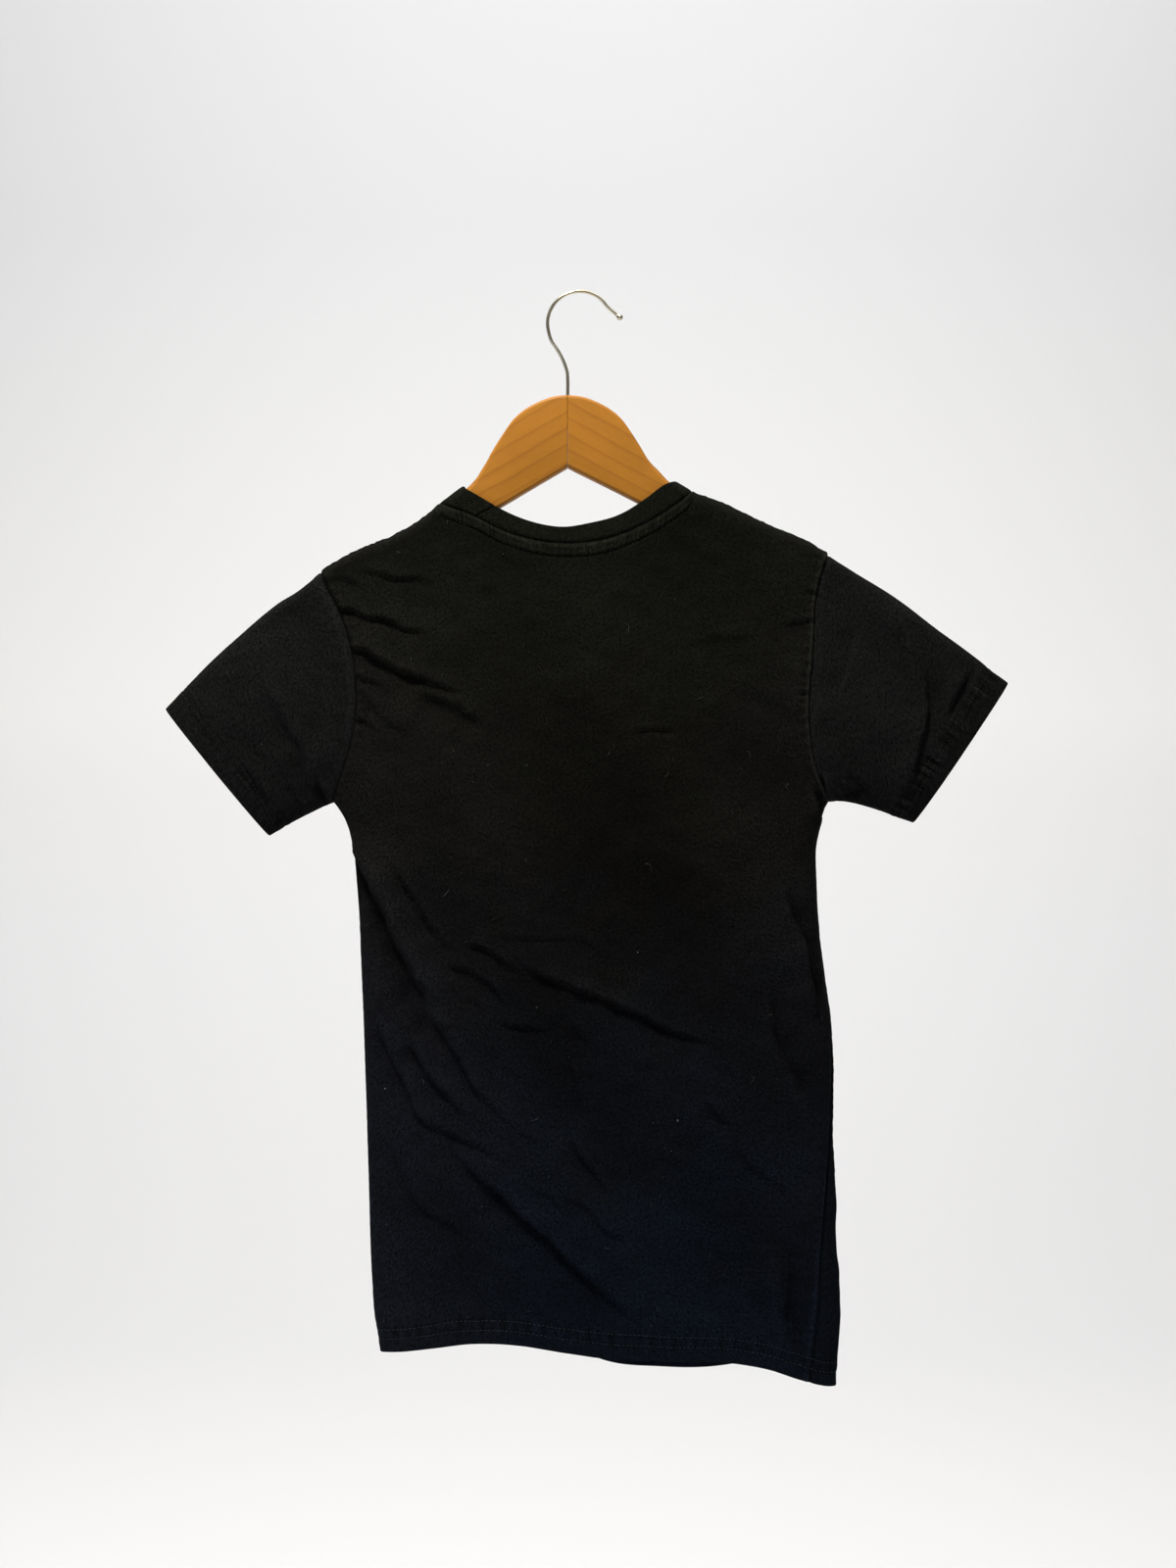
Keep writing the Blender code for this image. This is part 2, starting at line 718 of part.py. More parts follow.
def arm_section(x, side, tip):
    """A slice across an arm: a flat board with rounded edges, drawn in towards the tip."""
    name = "left_z" if side == LEFT else "right_z"
    top = hanger_top(x)
    low = smooth(abs(x - HANGER_X), ARM_UNDERSIDE["out"], ARM_UNDERSIDE[name])
    closing = np.sqrt(1 - np.clip(1 - abs(tip - x) / TIP_LENGTH, 0, 1) ** 2)
    low = top + (low - top) * (0.3 + 0.7 * closing)
    half = ARM_THICKNESS / 2 * (0.4 + 0.6 * closing)
    covered = np.clip((abs(x - HANGER_X) - 40) / 20, 0, 1)
    top_radius = min(ARM_EDGE_RADIUS + (ARM_TOP_RADIUS - ARM_EDGE_RADIUS) * covered, half - 0.3)
    low_radius = min(ARM_EDGE_RADIUS, half - 0.3)
    corners = ((1, 1, 0), (-1, 1, 1), (-1, -1, 2), (1, -1, 3))
    ring = []
    for face, up, quarter in corners:
        radius = top_radius if up > 0 else low_radius
        centre_y = face * (half - radius)
        centre_z = (top - radius) if up > 0 else (low + radius)
        for step in range(CORNER_STEPS + 1):
            turn = pi / 2 * (quarter + step / CORNER_STEPS)
            ring.append((x, centre_y + radius * np.cos(turn), centre_z + radius * np.sin(turn)))
    return ring


def tube_faces(rings, sides):
    """Faces of a closed tube of rings, with a flat cap at each end."""
    faces = [tuple(range(sides))[::-1], tuple((rings - 1) * sides + k for k in range(sides))]
    for i in range(rings - 1):
        for k in range(sides):
            after = (k + 1) % sides
            faces.append((i * sides + k, i * sides + after, (i + 1) * sides + after, (i + 1) * sides + k))
    return faces


def hanger_arm(side, finish, bore):
    """One half of the mitred pair, bored for the hook's shank where the halves meet."""
    tip = TIP_LEFT if side == LEFT else TIP_RIGHT
    start = HANGER_X + side * JOINT_GAP / 2
    out = np.concatenate([np.linspace(0, 60, 12), np.linspace(70, abs(tip - HANGER_X) - TIP_LENGTH, 8)])
    round_end = abs(tip - HANGER_X) - TIP_LENGTH * (1 - np.sin(np.linspace(0, pi / 2, 6)[1:]))
    xs = start + side * np.concatenate([out, round_end])
    rings = [arm_section(x, side, tip) for x in xs]
    name = "hanger_arm_left" if side == LEFT else "hanger_arm_right"
    faces = tube_faces(len(rings), len(rings[0]))
    if side == LEFT:
        faces = [face[::-1] for face in faces]
    arm = add_object(name, np.concatenate(rings), faces, finish)
    cut = arm.modifiers.new("Shank bore", "BOOLEAN")
    cut.object = bore
    cut.solver = "EXACT"
    return arm


def add_bore():
    """The cutter for the shank's hole."""
    depth, above = BORE_DEPTH, 6.0
    angles = np.linspace(0, 2 * pi, 17)[:-1]
    radius = WIRE_RADIUS + BORE_CLEARANCE
    verts = [
        (HANGER_X + radius * np.cos(a), radius * np.sin(a), z)
        for z in (HUMP_TOP - depth, HUMP_TOP + above)
        for a in angles
    ]
    cutter = add_object("shank_bore", verts, tube_faces(2, len(angles)), None)
    cutter.hide_render = True
    cutter.display_type = "WIRE"
    return cutter


def hook_path():
    """The wire's middle line: up the shank, round the hook and out to the ball."""
    shank = [(HANGER_X, HUMP_TOP - BORE_DEPTH + 0.3), (HANGER_X, HUMP_TOP), (HANGER_X, -62.0), (-9.9, -57.0)]
    neck = list(zip(HOOK_NECK["x"], HOOK_NECK["z"]))
    centre_z = WIRE_RADIUS - HOOK_RADIUS
    bow = [
        (HOOK_CENTRE_X + HOOK_RADIUS * np.cos(a), centre_z + HOOK_RADIUS * np.sin(a))
        for a in np.radians(np.linspace(196, 33, 15))
    ]
    flick = list(zip(HOOK_FLICK["x"], HOOK_FLICK["z"]))
    points = np.array(shank + neck + bow + flick)
    along = np.concatenate([[0], np.cumsum(np.linalg.norm(np.diff(points, axis=0), axis=1))])
    stops = np.concatenate([[0.0, along[1]], np.linspace(along[2], along[-1], 38)])
    return np.stack([smooth(stops, along, points[:, 0]), smooth(stops, along, points[:, 1])], axis=-1)


def build_hook(finish):
    """The wire and its ball end as one turned skin."""
    path = hook_path()
    radii = [WIRE_RADIUS] * len(path)
    tip, before = Vector(path[-1]), Vector(path[-2])
    forward = (tip - before).normalized()
    for turn in np.radians(np.linspace(BALL_NECK, 172, 8)):
        place = tip + forward * BALL_RADIUS * (np.cos(np.radians(BALL_NECK)) - np.cos(turn))
        path = np.vstack([path, place])
        radii.append(BALL_RADIUS * np.sin(turn))
    verts = []
    for i, (centre, radius) in enumerate(zip(path, radii)):
        ahead = path[min(i + 1, len(path) - 1)] - path[max(i - 1, 0)]
        tangent = Vector((ahead[0], 0, ahead[1])).normalized()
        sideways = Vector((0, 1, 0)).cross(tangent)
        for k in range(WIRE_SIDES):
            turn = 2 * pi * k / WIRE_SIDES
            offset = sideways * np.cos(turn) * radius + Vector((0, 1, 0)) * np.sin(turn) * radius
            verts.append((centre[0] + offset.x, offset.y, centre[1] + offset.z))
    return add_object("hanger_hook", verts, tube_faces(len(path), WIRE_SIDES), finish)


def build_hanger():
    wood = material("varnished_wood", (0.48, 0.21, 0.04), 0.45)
    wire = material("nickel_plated_wire", (0.72, 0.7, 0.66), 0.22, 1.0)
    bore = add_bore()
    for side in (LEFT, RIGHT):
        hanger_arm(side, wood, bore)
    build_hook(wire)


def main():
    for old in list(bpy.data.objects):
        bpy.data.objects.remove(old, do_unlink=True)
    build_garment()
    build_hanger()


main()
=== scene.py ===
"""A short-sleeved crew neck t-shirt on its wooden hanger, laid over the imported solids.

The garment hangs by the hanger's hook at the origin, with its back towards -Y and +Z up.
Sizes in the tables are in millimetres, those in the property groups in metres.

The cloth is one drape. A place on it is named by how far along the cloth it lies below the fold line,
where the garment turns over the hanger's arms, and by how far it stands off the middle plane. Each
cut piece is a thin wall on that drape, with its creases, seams and hems raised or sunk into it.
"""

from math import pi

import bpy
import numpy as np
from bpy.props import FloatProperty, FloatVectorProperty, IntProperty, PointerProperty
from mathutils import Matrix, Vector


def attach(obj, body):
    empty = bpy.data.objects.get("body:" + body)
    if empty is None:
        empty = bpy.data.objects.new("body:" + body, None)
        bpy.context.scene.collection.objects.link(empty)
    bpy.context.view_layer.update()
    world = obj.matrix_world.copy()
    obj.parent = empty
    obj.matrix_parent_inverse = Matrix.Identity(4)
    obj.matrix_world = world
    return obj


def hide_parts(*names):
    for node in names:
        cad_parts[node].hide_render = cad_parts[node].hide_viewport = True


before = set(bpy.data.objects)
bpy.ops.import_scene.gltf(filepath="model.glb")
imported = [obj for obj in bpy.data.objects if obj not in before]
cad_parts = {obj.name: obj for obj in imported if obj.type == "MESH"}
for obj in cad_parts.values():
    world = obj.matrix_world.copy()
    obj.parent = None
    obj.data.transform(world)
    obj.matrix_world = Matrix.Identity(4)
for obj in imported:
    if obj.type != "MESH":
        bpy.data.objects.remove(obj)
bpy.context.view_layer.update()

bl_info = {
    "name": "Crew neck t-shirt on a hanger",
    "version": (1, 0, 0),
    "blender": (4, 5, 0),
    "location": "View3D > Sidebar > T-shirt",
    "description": "Makes a hanging crew neck t-shirt, its wooden hanger and a pale studio",
    "category": "Add Mesh",
}

MM = 0.001
BACK, FRONT = -1, 1
LEFT, RIGHT = -1, 1
SIDE_NAME = {LEFT: "left", RIGHT: "right"}


def linear(hex_colour):
    """Linear RGB of an sRGB hex colour."""
    parts = [int(hex_colour[i : i + 2], 16) / 255 for i in (1, 3, 5)]
    return tuple(v / 12.92 if v <= 0.04045 else ((v + 0.055) / 1.055) ** 2.4 for v in parts)


def length_property(name, description, metres, smallest=0.0):
    """A length that a user may change."""
    return FloatProperty(name=name, description=description, default=metres, min=smallest, unit="LENGTH")


def power_property(name, description, watts):
    """A lamp's power that a user may change."""
    return FloatProperty(name=name, description=description, default=watts, min=0, unit="POWER")


def colour_property(name, description, hex_colour):
    """A colour that a user may change, with its sRGB default."""
    linear_rgb = linear(hex_colour)
    return FloatVectorProperty(
        name=name, description=description, default=linear_rgb, subtype="COLOR", size=3, min=0, max=1
    )


class TeeGarment(bpy.types.PropertyGroup):
    """Sizes and colours of the cloth."""

    jersey_wall: length_property("Jersey", "Thickness of the single jersey", 0.0009, 0.0004)
    hem_wall: length_property("Hems", "Thickness of the turned and stitched hems", 0.0019)
    rib_wall: length_property("Rib", "Thickness of the doubled rib neckband", 0.0018)
    crease_depth: FloatProperty(
        name="Creases", description="Depth of the creases, as a share", default=1.15, min=0, max=2,
        subtype="FACTOR",
    )
    stitch_pitch: length_property("Stitch pitch", "From one stitch to the next", 0.0031, 0.001)
    lint_count: IntProperty(name="Lint", description="Number of fibres and specks", default=520, min=0)
    dye: colour_property("Dye", "Black of the jersey across the chest", "#0c0b09")
    # Painted warm light from above: the black of the shoulders.
    top_dye_painted_warm: colour_property("Worn dye", "Black of the shoulders, which have faded", "#0f100c")
    # Painted cool light from below: the black towards the hem.
    hem_dye_painted_cool: colour_property("Deep dye", "Cooler black towards the hem", "#0c121b")
    # Painted light: the paler black down the left side and the upper right.
    side_dye_painted_paler: colour_property("Side dye", "Black towards the armholes, which rub most", "#161615")
    # Painted cool light from below: the black low down the sides.
    low_side_dye_painted_cool: colour_property("Deep side dye", "Black towards the side seams", "#14161c")
    # Painted light: the sleeves' black is paler than the chest's.
    sleeve_dye_painted_paler: colour_property("Sleeve dye", "Black of the sleeves, which have faded most", "#141515")
    rib_dye: colour_property("Rib dye", "Black of the neckband", "#10120c")
    # Painted sheen: the hem thread is paler than the neck and cuff thread.
    thread: colour_property("Hem thread", "Sewing thread of the hem, which has faded", "#1e2126")
    dark_thread: colour_property("Dark thread", "Sewing thread of the neck and the cuffs", "#0e0e0d")
    lint: colour_property("Lint colour", "Palest of the fibres and specks", "#666865")


class TeeHanger(bpy.types.PropertyGroup):
    """Sizes and colours of the hanger."""

    thickness: length_property("Thickness", "Thickness of the wooden arms", 0.012, 0.008)
    wire: length_property("Wire", "Diameter of the hook's wire", 0.0024, 0.0015)
    wood: colour_property("Wood", "Pale wood between the growth lines", "#9e691f")
    grain: colour_property("Grain", "Darker growth lines of the wood", "#86541a")
    plating: colour_property("Plating", "Nickel plating of the hook", "#d2c8ae")


class TeeStage(bpy.types.PropertyGroup):
    """The studio round the garment."""

    distance: length_property("Camera distance", "From the camera to the garment", 1.4)
    frame_height: length_property("Framed height", "Height of the picture at the garment", 1.12)
    key_power: power_property("Key light", "Power of the overhead light", 42.0)
    fill_power: power_property("Fill light", "Power of the side light", 2.6)
    backdrop_power: power_property("Backdrop light", "Power of the light on the backdrop", 70.0)
    room: FloatProperty(
        name="Room light", description="Strength of the light from all round", default=0.22, min=0
    )
    paper: colour_property("Paper", "Matt backdrop paper and floor", "#ebecee")


# Drape, in millimetres
FOLD_RADIUS = 8.0
EDGE_INSET = 0.45
ARMPIT_DEPTH = 170.0
HEM_DEPTH = 575.0
SHOULDER_SEAM = {LEFT: 4.0, RIGHT: 0.4}
FRONT_SCOOP = 6.0
FRONT_PEEK = 12.9
FRONT_PEEK_MIDDLE = 58.0
FRONT_PEEK_HALF = 62.0

# Neck
NECK_LEFT = -101.5
NECK_RIGHT = 79.1
NECK_LEFT_Z = -150.9
NECK_RIGHT_Z = -142.5
NECK_CORNER = 1.6
NECK_SCOOP_POWER = 2.3
BAND_LEFT = -84.0
BAND_RIGHT = 66.5
BAND_LEFT_Z = -139.8
BAND_RIGHT_Z = -135.8
FRONT_NECK_DROP = 76.0
FRONT_BAND_DROP = 76.5
BAND_LEAN = 1.5
BAND_JOIN = 31.0
BAND_RINGS = np.array([0, 0.04, 0.1, 0.18, 0.28, 0.4, 0.52, 0.64, 0.76, 0.85, 0.92, 0.97, 1.0])

# Sleeves
CUFF_HALF_DEPTH = 11.0
SLEEVE_SWELL = 2.5
SLEEVE_REACH = 136.0

# Sewing
TAPE_WIDTH = 9.6
NECK_STITCH = 10.0
HEM_WIDTH = 19.0
HEM_STITCHES = (17.0, 10.0)
CUFF_WIDTH = 20.0
CUFF_STITCHES = (18.4, 13.6)
SEAM_ALLOWANCE = 7.0
ALLOWANCE_RIDGE = {LEFT: 0.45, RIGHT: 0.2}
CUFF_GATHERS = {LEFT: 0.12, RIGHT: 0.5}
CUFF_SHADE = {LEFT: 0.08, RIGHT: 0.3}
RIB_PITCH = 1.7
CUT_OFFSET = 500.0

# Creases: from one place on a crease to the next, and how many half widths it is felt over
CREASE_STEP = 1.4
CREASE_REACH = 4.5

# Hanger
HANGER_X = -9.6
HUMP_TOP = -73.5
ARM_EDGE_RADIUS = 2.6
ARM_TOP_RADIUS = 5.6
ARM_UNDER_CLOTH = 1.15
ARM_UNDER_RIB = 2.1
JOINT_GAP = 0.16
TIP_LEFT = -178.0
TIP_RIGHT = 168.0
TIP_LENGTH = 16.0
CORNER_STEPS = 6
SHANK_DEPTH = 23.7

# Hook
HOOK_RADIUS = 23.0
HOOK_CENTRE_X = -1.0
BALL_RADIUS = 2.2
BALL_NECK = 34.0
WIRE_SIDES = 20

# Studio
CAMERA_X = 4.9
CAMERA_Z = -350.7
FLOOR_Z = -1250.0
BACKDROP_Y = 2600.0


def table(columns, *rows):
    """Named columns of a short table, each as an array."""
    return dict(zip(columns.split(), np.array(rows, float).T))


# The fold line: the top of the shoulders. Between the neck points, where there is no cloth, it only
# gives the height from which the cloth is measured down.
FOLD_LINE = table(
    "x z",
    (-192, -203.0),
    (-172, -190.9),
    (-157, -182.9),
    (-136, -174.5),
    (-112, -160.6),
    (-99.4, -150.0),
    (-86, -140.8),
    (-80.6, -136.6),
    (-76.5, -132.4),
    (-70, -124.0),
    (-60, -114.0),
    (-9.6, -100.0),
    (44, -114.0),
    (54.4, -124.0),
    (62.2, -132.4),
    (67.5, -136.4),
    (79, -142.4),
    (98.7, -149.7),
    (133, -165.9),
    (163.8, -179.2),
    (186, -195.0),
)

# Side edges of the body below the armpits.
SIDES = table(
    "z left right",
    (-362.8, -177.8, 177.0),
    (-371.0, -171.8, 173.8),
    (-379.0, -167.8, 171.4),
    (-393.0, -163.8, 168.2),
    (-421.0, -161.0, 168.0),
    (-449.0, -158.9, 169.6),
    (-477.0, -157.5, 173.0),
    (-505.0, -156.3, 177.0),
    (-533.0, -155.4, 179.2),
    (-589.0, -153.4, 180.6),
    (-645.0, -151.9, 181.5),
    (-701.0, -149.8, 183.4),
    (-729.0, -147.7, 184.8),
    (-756.0, -143.6, 184.0),
    (-781.0, -141.0, 181.6),
)

# Armhole seams from the shoulder point down to the armpit.
ARMHOLES = table(
    "left_z left_x right_z right_x",
    (-197.5, -187.2, -188.0, 176.0),
    (-211.0, -181.2, -204.0, 170.4),
    (-228.0, -172.4, -220.0, 167.0),
    (-248.0, -165.4, -238.0, 165.9),
    (-270.0, -161.3, -266.0, 164.4),
    (-291.0, -160.1, -284.0, 162.7),
    (-309.0, -161.5, -302.0, 162.3),
    (-330.0, -166.2, -320.0, 163.5),
    (-348.0, -172.4, -341.0, 167.8),
    (-362.8, -177.8, -362.8, 177.0),
)

# Hem of the back panel.
HEM = table(
    "x z",
    (-150, -756.0),
    (-128, -754.3),
    (-107, -751.3),
    (-76, -747.2),
    (-44, -748.1),
    (-12, -752.9),
    (19, -757.2),
    (61, -759.3),
    (113, -761.9),
    (134, -766.4),
    (155, -774.2),
    (176, -780.2),
    (190, -781.0),
)

# Seam of the neckband to the back panel, and the band's free edge above it.
BACK_NECK = table(
    "x z",
    (-101.5, -150.9),
    (-78, -159.0),
    (-58, -169.2),
    (-37, -176.2),
    (-9, -179.3),
    (19, -175.9),
    (40, -168.1),
    (54, -160.6),
    (68, -151.4),
    (79.1, -142.5),
)
BACK_BAND = table(
    "x z",
    (-84, -139.8),
    (-72, -146.6),
    (-58, -154.8),
    (-44, -161.3),
    (-30, -165.7),
    (-12.6, -168.0),
    (5, -165.5),
    (29, -158.5),
    (47, -147.2),
    (60, -137.8),
    (66.5, -135.8),
)

# How far the middle of each section stands off the middle plane, by the depth below the shoulder seam.
HALF_DEPTH = table(
    "depth back front",
    (0, 9.0, 9.0),
    (50, 10.8, 11.2),
    (110, 14.5, 15.5),
    (170, 18.5, 19.5),
    (290, 20.0, 21.0),
    (430, 19.5, 21.0),
    (575, 16.5, 18.0),
)

# The same at the armhole seams, from the shoulder point (0) to the armpit (1).
ARMHOLE_DEPTH = table("part half", (0, 8.8), (0.3, 10.6), (0.6, 12.2), (0.8, 12.6), (1, 12.6))

# How far the right side seam lies on the back, inside the body's right edge.
SIDE_SEAM_TURN = table(
    "z turn",
    (-530, 0.0),
    (-590, 2.6),
    (-635, 6.0),
    (-702, 13.0),
    (-765, 18.0),
    (-790, 19.0),
)

# Silhouette of each sleeve, from the armhole (0) to the cuff (1).
SLEEVE_TOP = table(
    "part left_x left_z right_x right_z",
    (0.0, -187.2, -200.0, 176.0, -187.9),
    (0.12, -200.9, -211.2, 192.5, -198.3),
    (0.32, -220.6, -223.8, 221.9, -216.0),
    (0.55, -246.0, -246.0, 250.6, -237.3),
    (0.78, -271.0, -269.4, 276.4, -256.2),
    (1.0, -297.2, -297.4, 305.2, -279.0),
)
SLEEVE_UNDER = table(
    "part left_x left_z right_x right_z",
    (0.0, -177.8, -362.8, 177.0, -362.8),
    (0.3, -190.0, -369.0, 191.5, -363.6),
    (0.65, -206.0, -377.4, 212.0, -369.0),
    (1.0, -223.4, -387.6, 238.0, -378.2),
)

# Creases of the back panel: the half width of the ridge, the depth of the crease, how far
#  down its lip slopes, and the places that it runs through. Seen from the back, the ridge is on the left of
#  its way along and the trough on the right.
BACK_CREASES = (
    (
        6.5, 5.6, 6, (-166.3, -390.9), (-153.1, -411.7), (-144.1, -429.7), (-134.4, -449.1),
        (-125.4, -469.9), (-116.4, -483.8), (-107.4, -497.6), (-103.2, -513.6), (-97.7, -528.1),
    ),
    (9, 3, 11, (-124, -478.9), (-114.3, -497.6), (-106, -517), (-101.8, -535)),
    (
        3.2, 2.6, 2.2, (-106, -510.1), (-97.7, -524), (-90.7, -536.4), (-82.4, -550.3), (-74.1, -565.5),
        (-65.8, -579.4),
    ),
    (
        2.8, 2.2, 1.1, (-135.1, -404.8), (-128.2, -415.1), (-121.2, -426.9), (-112.9, -440.8),
        (-105.3, -452.6), (-97, -463), (-89.3, -469.2),
    ),
    (2.8, 2.4, 1.2, (-82.4, -463.7), (-72.7, -464.4), (-63.7, -469.2), (-54, -475.4), (-38.1, -483.8)),
    (
        3.4, 3.4, 1.2, (-43.6, -474.7), (-36, -481), (-22.8, -487.2), (-9, -491.4), (6.3, -497.6),
        (24.3, -505.2), (43, -512.9), (60.3, -522.6), (79.7, -529.5), (99.1, -537.1),
    ),
    (
        2.4, 2, 1.1, (-96.3, -476.8), (-85.2, -481), (-73.4, -485.8), (-63.7, -492.1), (-57.5, -499.7),
        (-54.7, -508.7),
    ),
    (2.6, 1.3, 1.3, (-81, -501.1), (-71.3, -506.6), (-64.4, -514.2)),
    (2.2, 1.8, 1.1, (-57.5, -519.1), (-47.1, -521.2), (-33.2, -522.6), (-21.4, -524)),
    (2.4, 1, 1.3, (-62.3, -456), (-47.1, -458.1), (-31.1, -459.5), (-12.4, -459.5), (0.7, -457.4)),
    (1.6, 1.1, 1, (1.4, -458.1), (6.3, -463), (11.8, -468.5)),
    (
        3.6, 2.2, 1.5, (-151.7, -514.2), (-142, -528.1), (-134.4, -544.7), (-126.8, -558.6),
        (-120.5, -572.5), (-114.3, -584.9), (-101.8, -593.2), (-85.2, -600.2), (-71.3, -605.7),
        (-60.2, -612.7), (-43.6, -618.2),
    ),
    (
        4.2, 2.8, 1.7, (-121.2, -529.5), (-115.7, -543.4), (-108.8, -554.4), (-99, -564.1),
        (-90.7, -573.8), (-79.6, -587.7),
    ),
    (3.2, 1.2, 1.8, (-81, -558.6), (-67.9, -571.1), (-54, -586.3), (-36.7, -598.8), (-19.4, -608.5)),
    (
        6.2, 3.8, 2, (-86.6, -612.7), (-72.7, -625.8), (-58.9, -637.6), (-47.1, -648.7),
        (-35.3, -659.1), (-22.8, -670.9), (-11.7, -681.3), (-0.6, -693), (10.4, -702.7), (24.3, -715.2),
        (38.2, -729.1),
    ),
    (
        4.2, 1.4, 2.2, (-137.9, -598.8), (-129.5, -616.8), (-122.6, -636.2), (-112.9, -650.1),
        (-97.7, -659.8), (-82.4, -670.9), (-75.5, -683.3),
    ),
    (3, 1.9, 1.3, (-6.2, -600.2), (-0.6, -611.3), (6.3, -621), (13.2, -630.7), (18.1, -637.6)),
    (2.6, 1, 1.5, (-33.9, -635.5), (-21.4, -641.1), (-10.3, -655.6)),
    (3, 1.4, 1.6, (-13.8, -639.7), (3.5, -648), (13.2, -659.8), (24.3, -668.1), (39.5, -673.6)),
    (3.4, 1.3, 1.8, (-6.2, -546.1), (-2, -561.4), (2.1, -576.6), (4.2, -591.9)),
    (4, 0.9, 2.4, (-13.1, -510.1), (-2, -524), (9.1, -536.4)),
    (2.4, 0.8, 1.5, (-60.9, -548.2), (-50.5, -551.7), (-39.5, -557.2)),
    (
        6, 3.6, 2, (167.8, -518.4), (165, -496.2), (161.5, -478.9), (157.4, -463), (151.8, -449.8),
        (146.3, -437.3), (143.5, -420),
    ),
    (
        5.5, 2.4, 2.4, (166.4, -594.6), (158.7, -576.6), (150.4, -561.4), (142.8, -548.2),
        (137.3, -532.3), (133.8, -513.6), (132.4, -496.2),
    ),
    (2.4, 0.8, 1.6, (100.5, -537.8), (103.3, -548.2), (110.2, -560)),
    (3.2, 1.3, 1.7, (88.1, -573.8), (97.8, -584.9), (110.2, -591.9)),
    (4.5, 1.5, 2.2, (110.2, -601.6), (118.6, -616.8), (132.4, -627.9), (144.9, -639), (151.8, -652.8)),
    (8, 3.8, 3, (151.8, -769.3), (147, -745.7), (143.5, -721.5), (140.7, -697.2), (143.5, -676.4)),
    (4, 1.2, 2.2, (133.8, -742.9), (125.5, -730.5), (118.6, -718)),
    (2.8, 3.4, 1.1, (171.2, -377), (168.4, -365.9), (165.7, -353.5)),
    (1.5, 1.8, 0.9, (38.2, -312.6), (52, -311.9), (68.7, -312.6)),
    (2.6, 2, 1.2, (-187.8, -203.8), (-169.7, -203.8), (-161.4, -206.6), (-153.1, -212.8)),
    (3, 1.7, 1.4, (-157.3, -198.2), (-144.8, -200.3), (-132.3, -203.8), (-114.3, -204.5), (-101.8, -210)),
    (
        3, 2.8, 1.2, (-180.1, -225.3), (-161.4, -227.3), (-153.1, -231.5), (-137.9, -233.6),
        (-125.4, -239.8), (-106, -242.6),
    ),
    (
        3.8, 3.8, 1.3, (-171.8, -253), (-152.4, -255.8), (-143.4, -262), (-132.3, -268.2),
        (-119.8, -272.4), (-110.1, -276.5), (-99, -280.7), (-82.4, -285.6),
    ),
    (9, 2.6, 5, (-112.9, -282.8), (-88.7, -293.9), (-64.4, -307.7)),
    (1.8, 1.2, 1, (-168.3, -259.9), (-150.3, -262.7), (-142, -266.8)),
    (2.2, 1.7, 1, (-168.3, -272.4), (-148.9, -277.2), (-137.9, -281.4)),
    (2.2, 1.8, 1, (-167.7, -300.1), (-152.4, -306.3), (-144.8, -312.6)),
    (2, 0.8, 1.2, (-137.9, -307), (-129.5, -310.5), (-121.2, -314.7)),
    (3, 0.9, 1.8, (-157.3, -281.4), (-144.8, -296.6), (-133.7, -310.5)),
    (2.6, 1.3, 1.2, (142.1, -237), (154.6, -235), (175.4, -234.3)),
    (2.2, 1.4, 1, (158.7, -210.7), (164.3, -213.5), (176.8, -214.9)),
    (6, 0.8, 4, (74.2, -250.2), (98.5, -245.4), (122.7, -243.3)),
    (2, 1, 1.1, (153.2, -285.6), (159.4, -285.6), (172.6, -284.2)),
)
FRONT_CREASES = (
    (6, 3.6, 1.8, (150, -400), (138, -428), (122, -455), (106, -486), (92, -512)),
    (4.4, 2.4, 1.6, (104, -500), (82, -548), (54, -590)),
    (4, 2.4, 1.3, (-66, -522), (-30, -508), (4, -492), (40, -478), (72, -466)),
    (5.4, 2.6, 2, (140, -556), (106, -598), (54, -644)),
    (6.6, 3.2, 2.2, (32, -606), (10, -634), (-14, -660), (-40, -690), (-62, -720)),
    (4.6, 2, 1.8, (-134, -556), (-116, -606), (-88, -664)),
    (3.4, 2.6, 1.3, (154, -258), (132, -264), (112, -272), (88, -284), (66, -294)),
    (3.4, 2.2, 1.4, (-154, -248), (-112, -262), (-74, -280)),
    (4.6, 2, 1.8, (-160, -410), (-140, -446), (-112, -480)),
    (6.8, 0.9, 4, (20, -330), (34, -380), (30, -430)),
    (6.8, 0.9, 4, (-60, -320), (-70, -372), (-62, -420)),
    (6, 1.4, 3, (100, -640), (84, -690), (86, -736)),
    (5, 1, 2.6, (-20, -700), (-28, -728), (-26, -756)),
    (2.4, 1.5, 1.2, (-40, -470), (-62, -482), (-84, -500)),
    (2.8, 1.4, 1.4, (20, -552), (44, -566), (66, -590)),
)
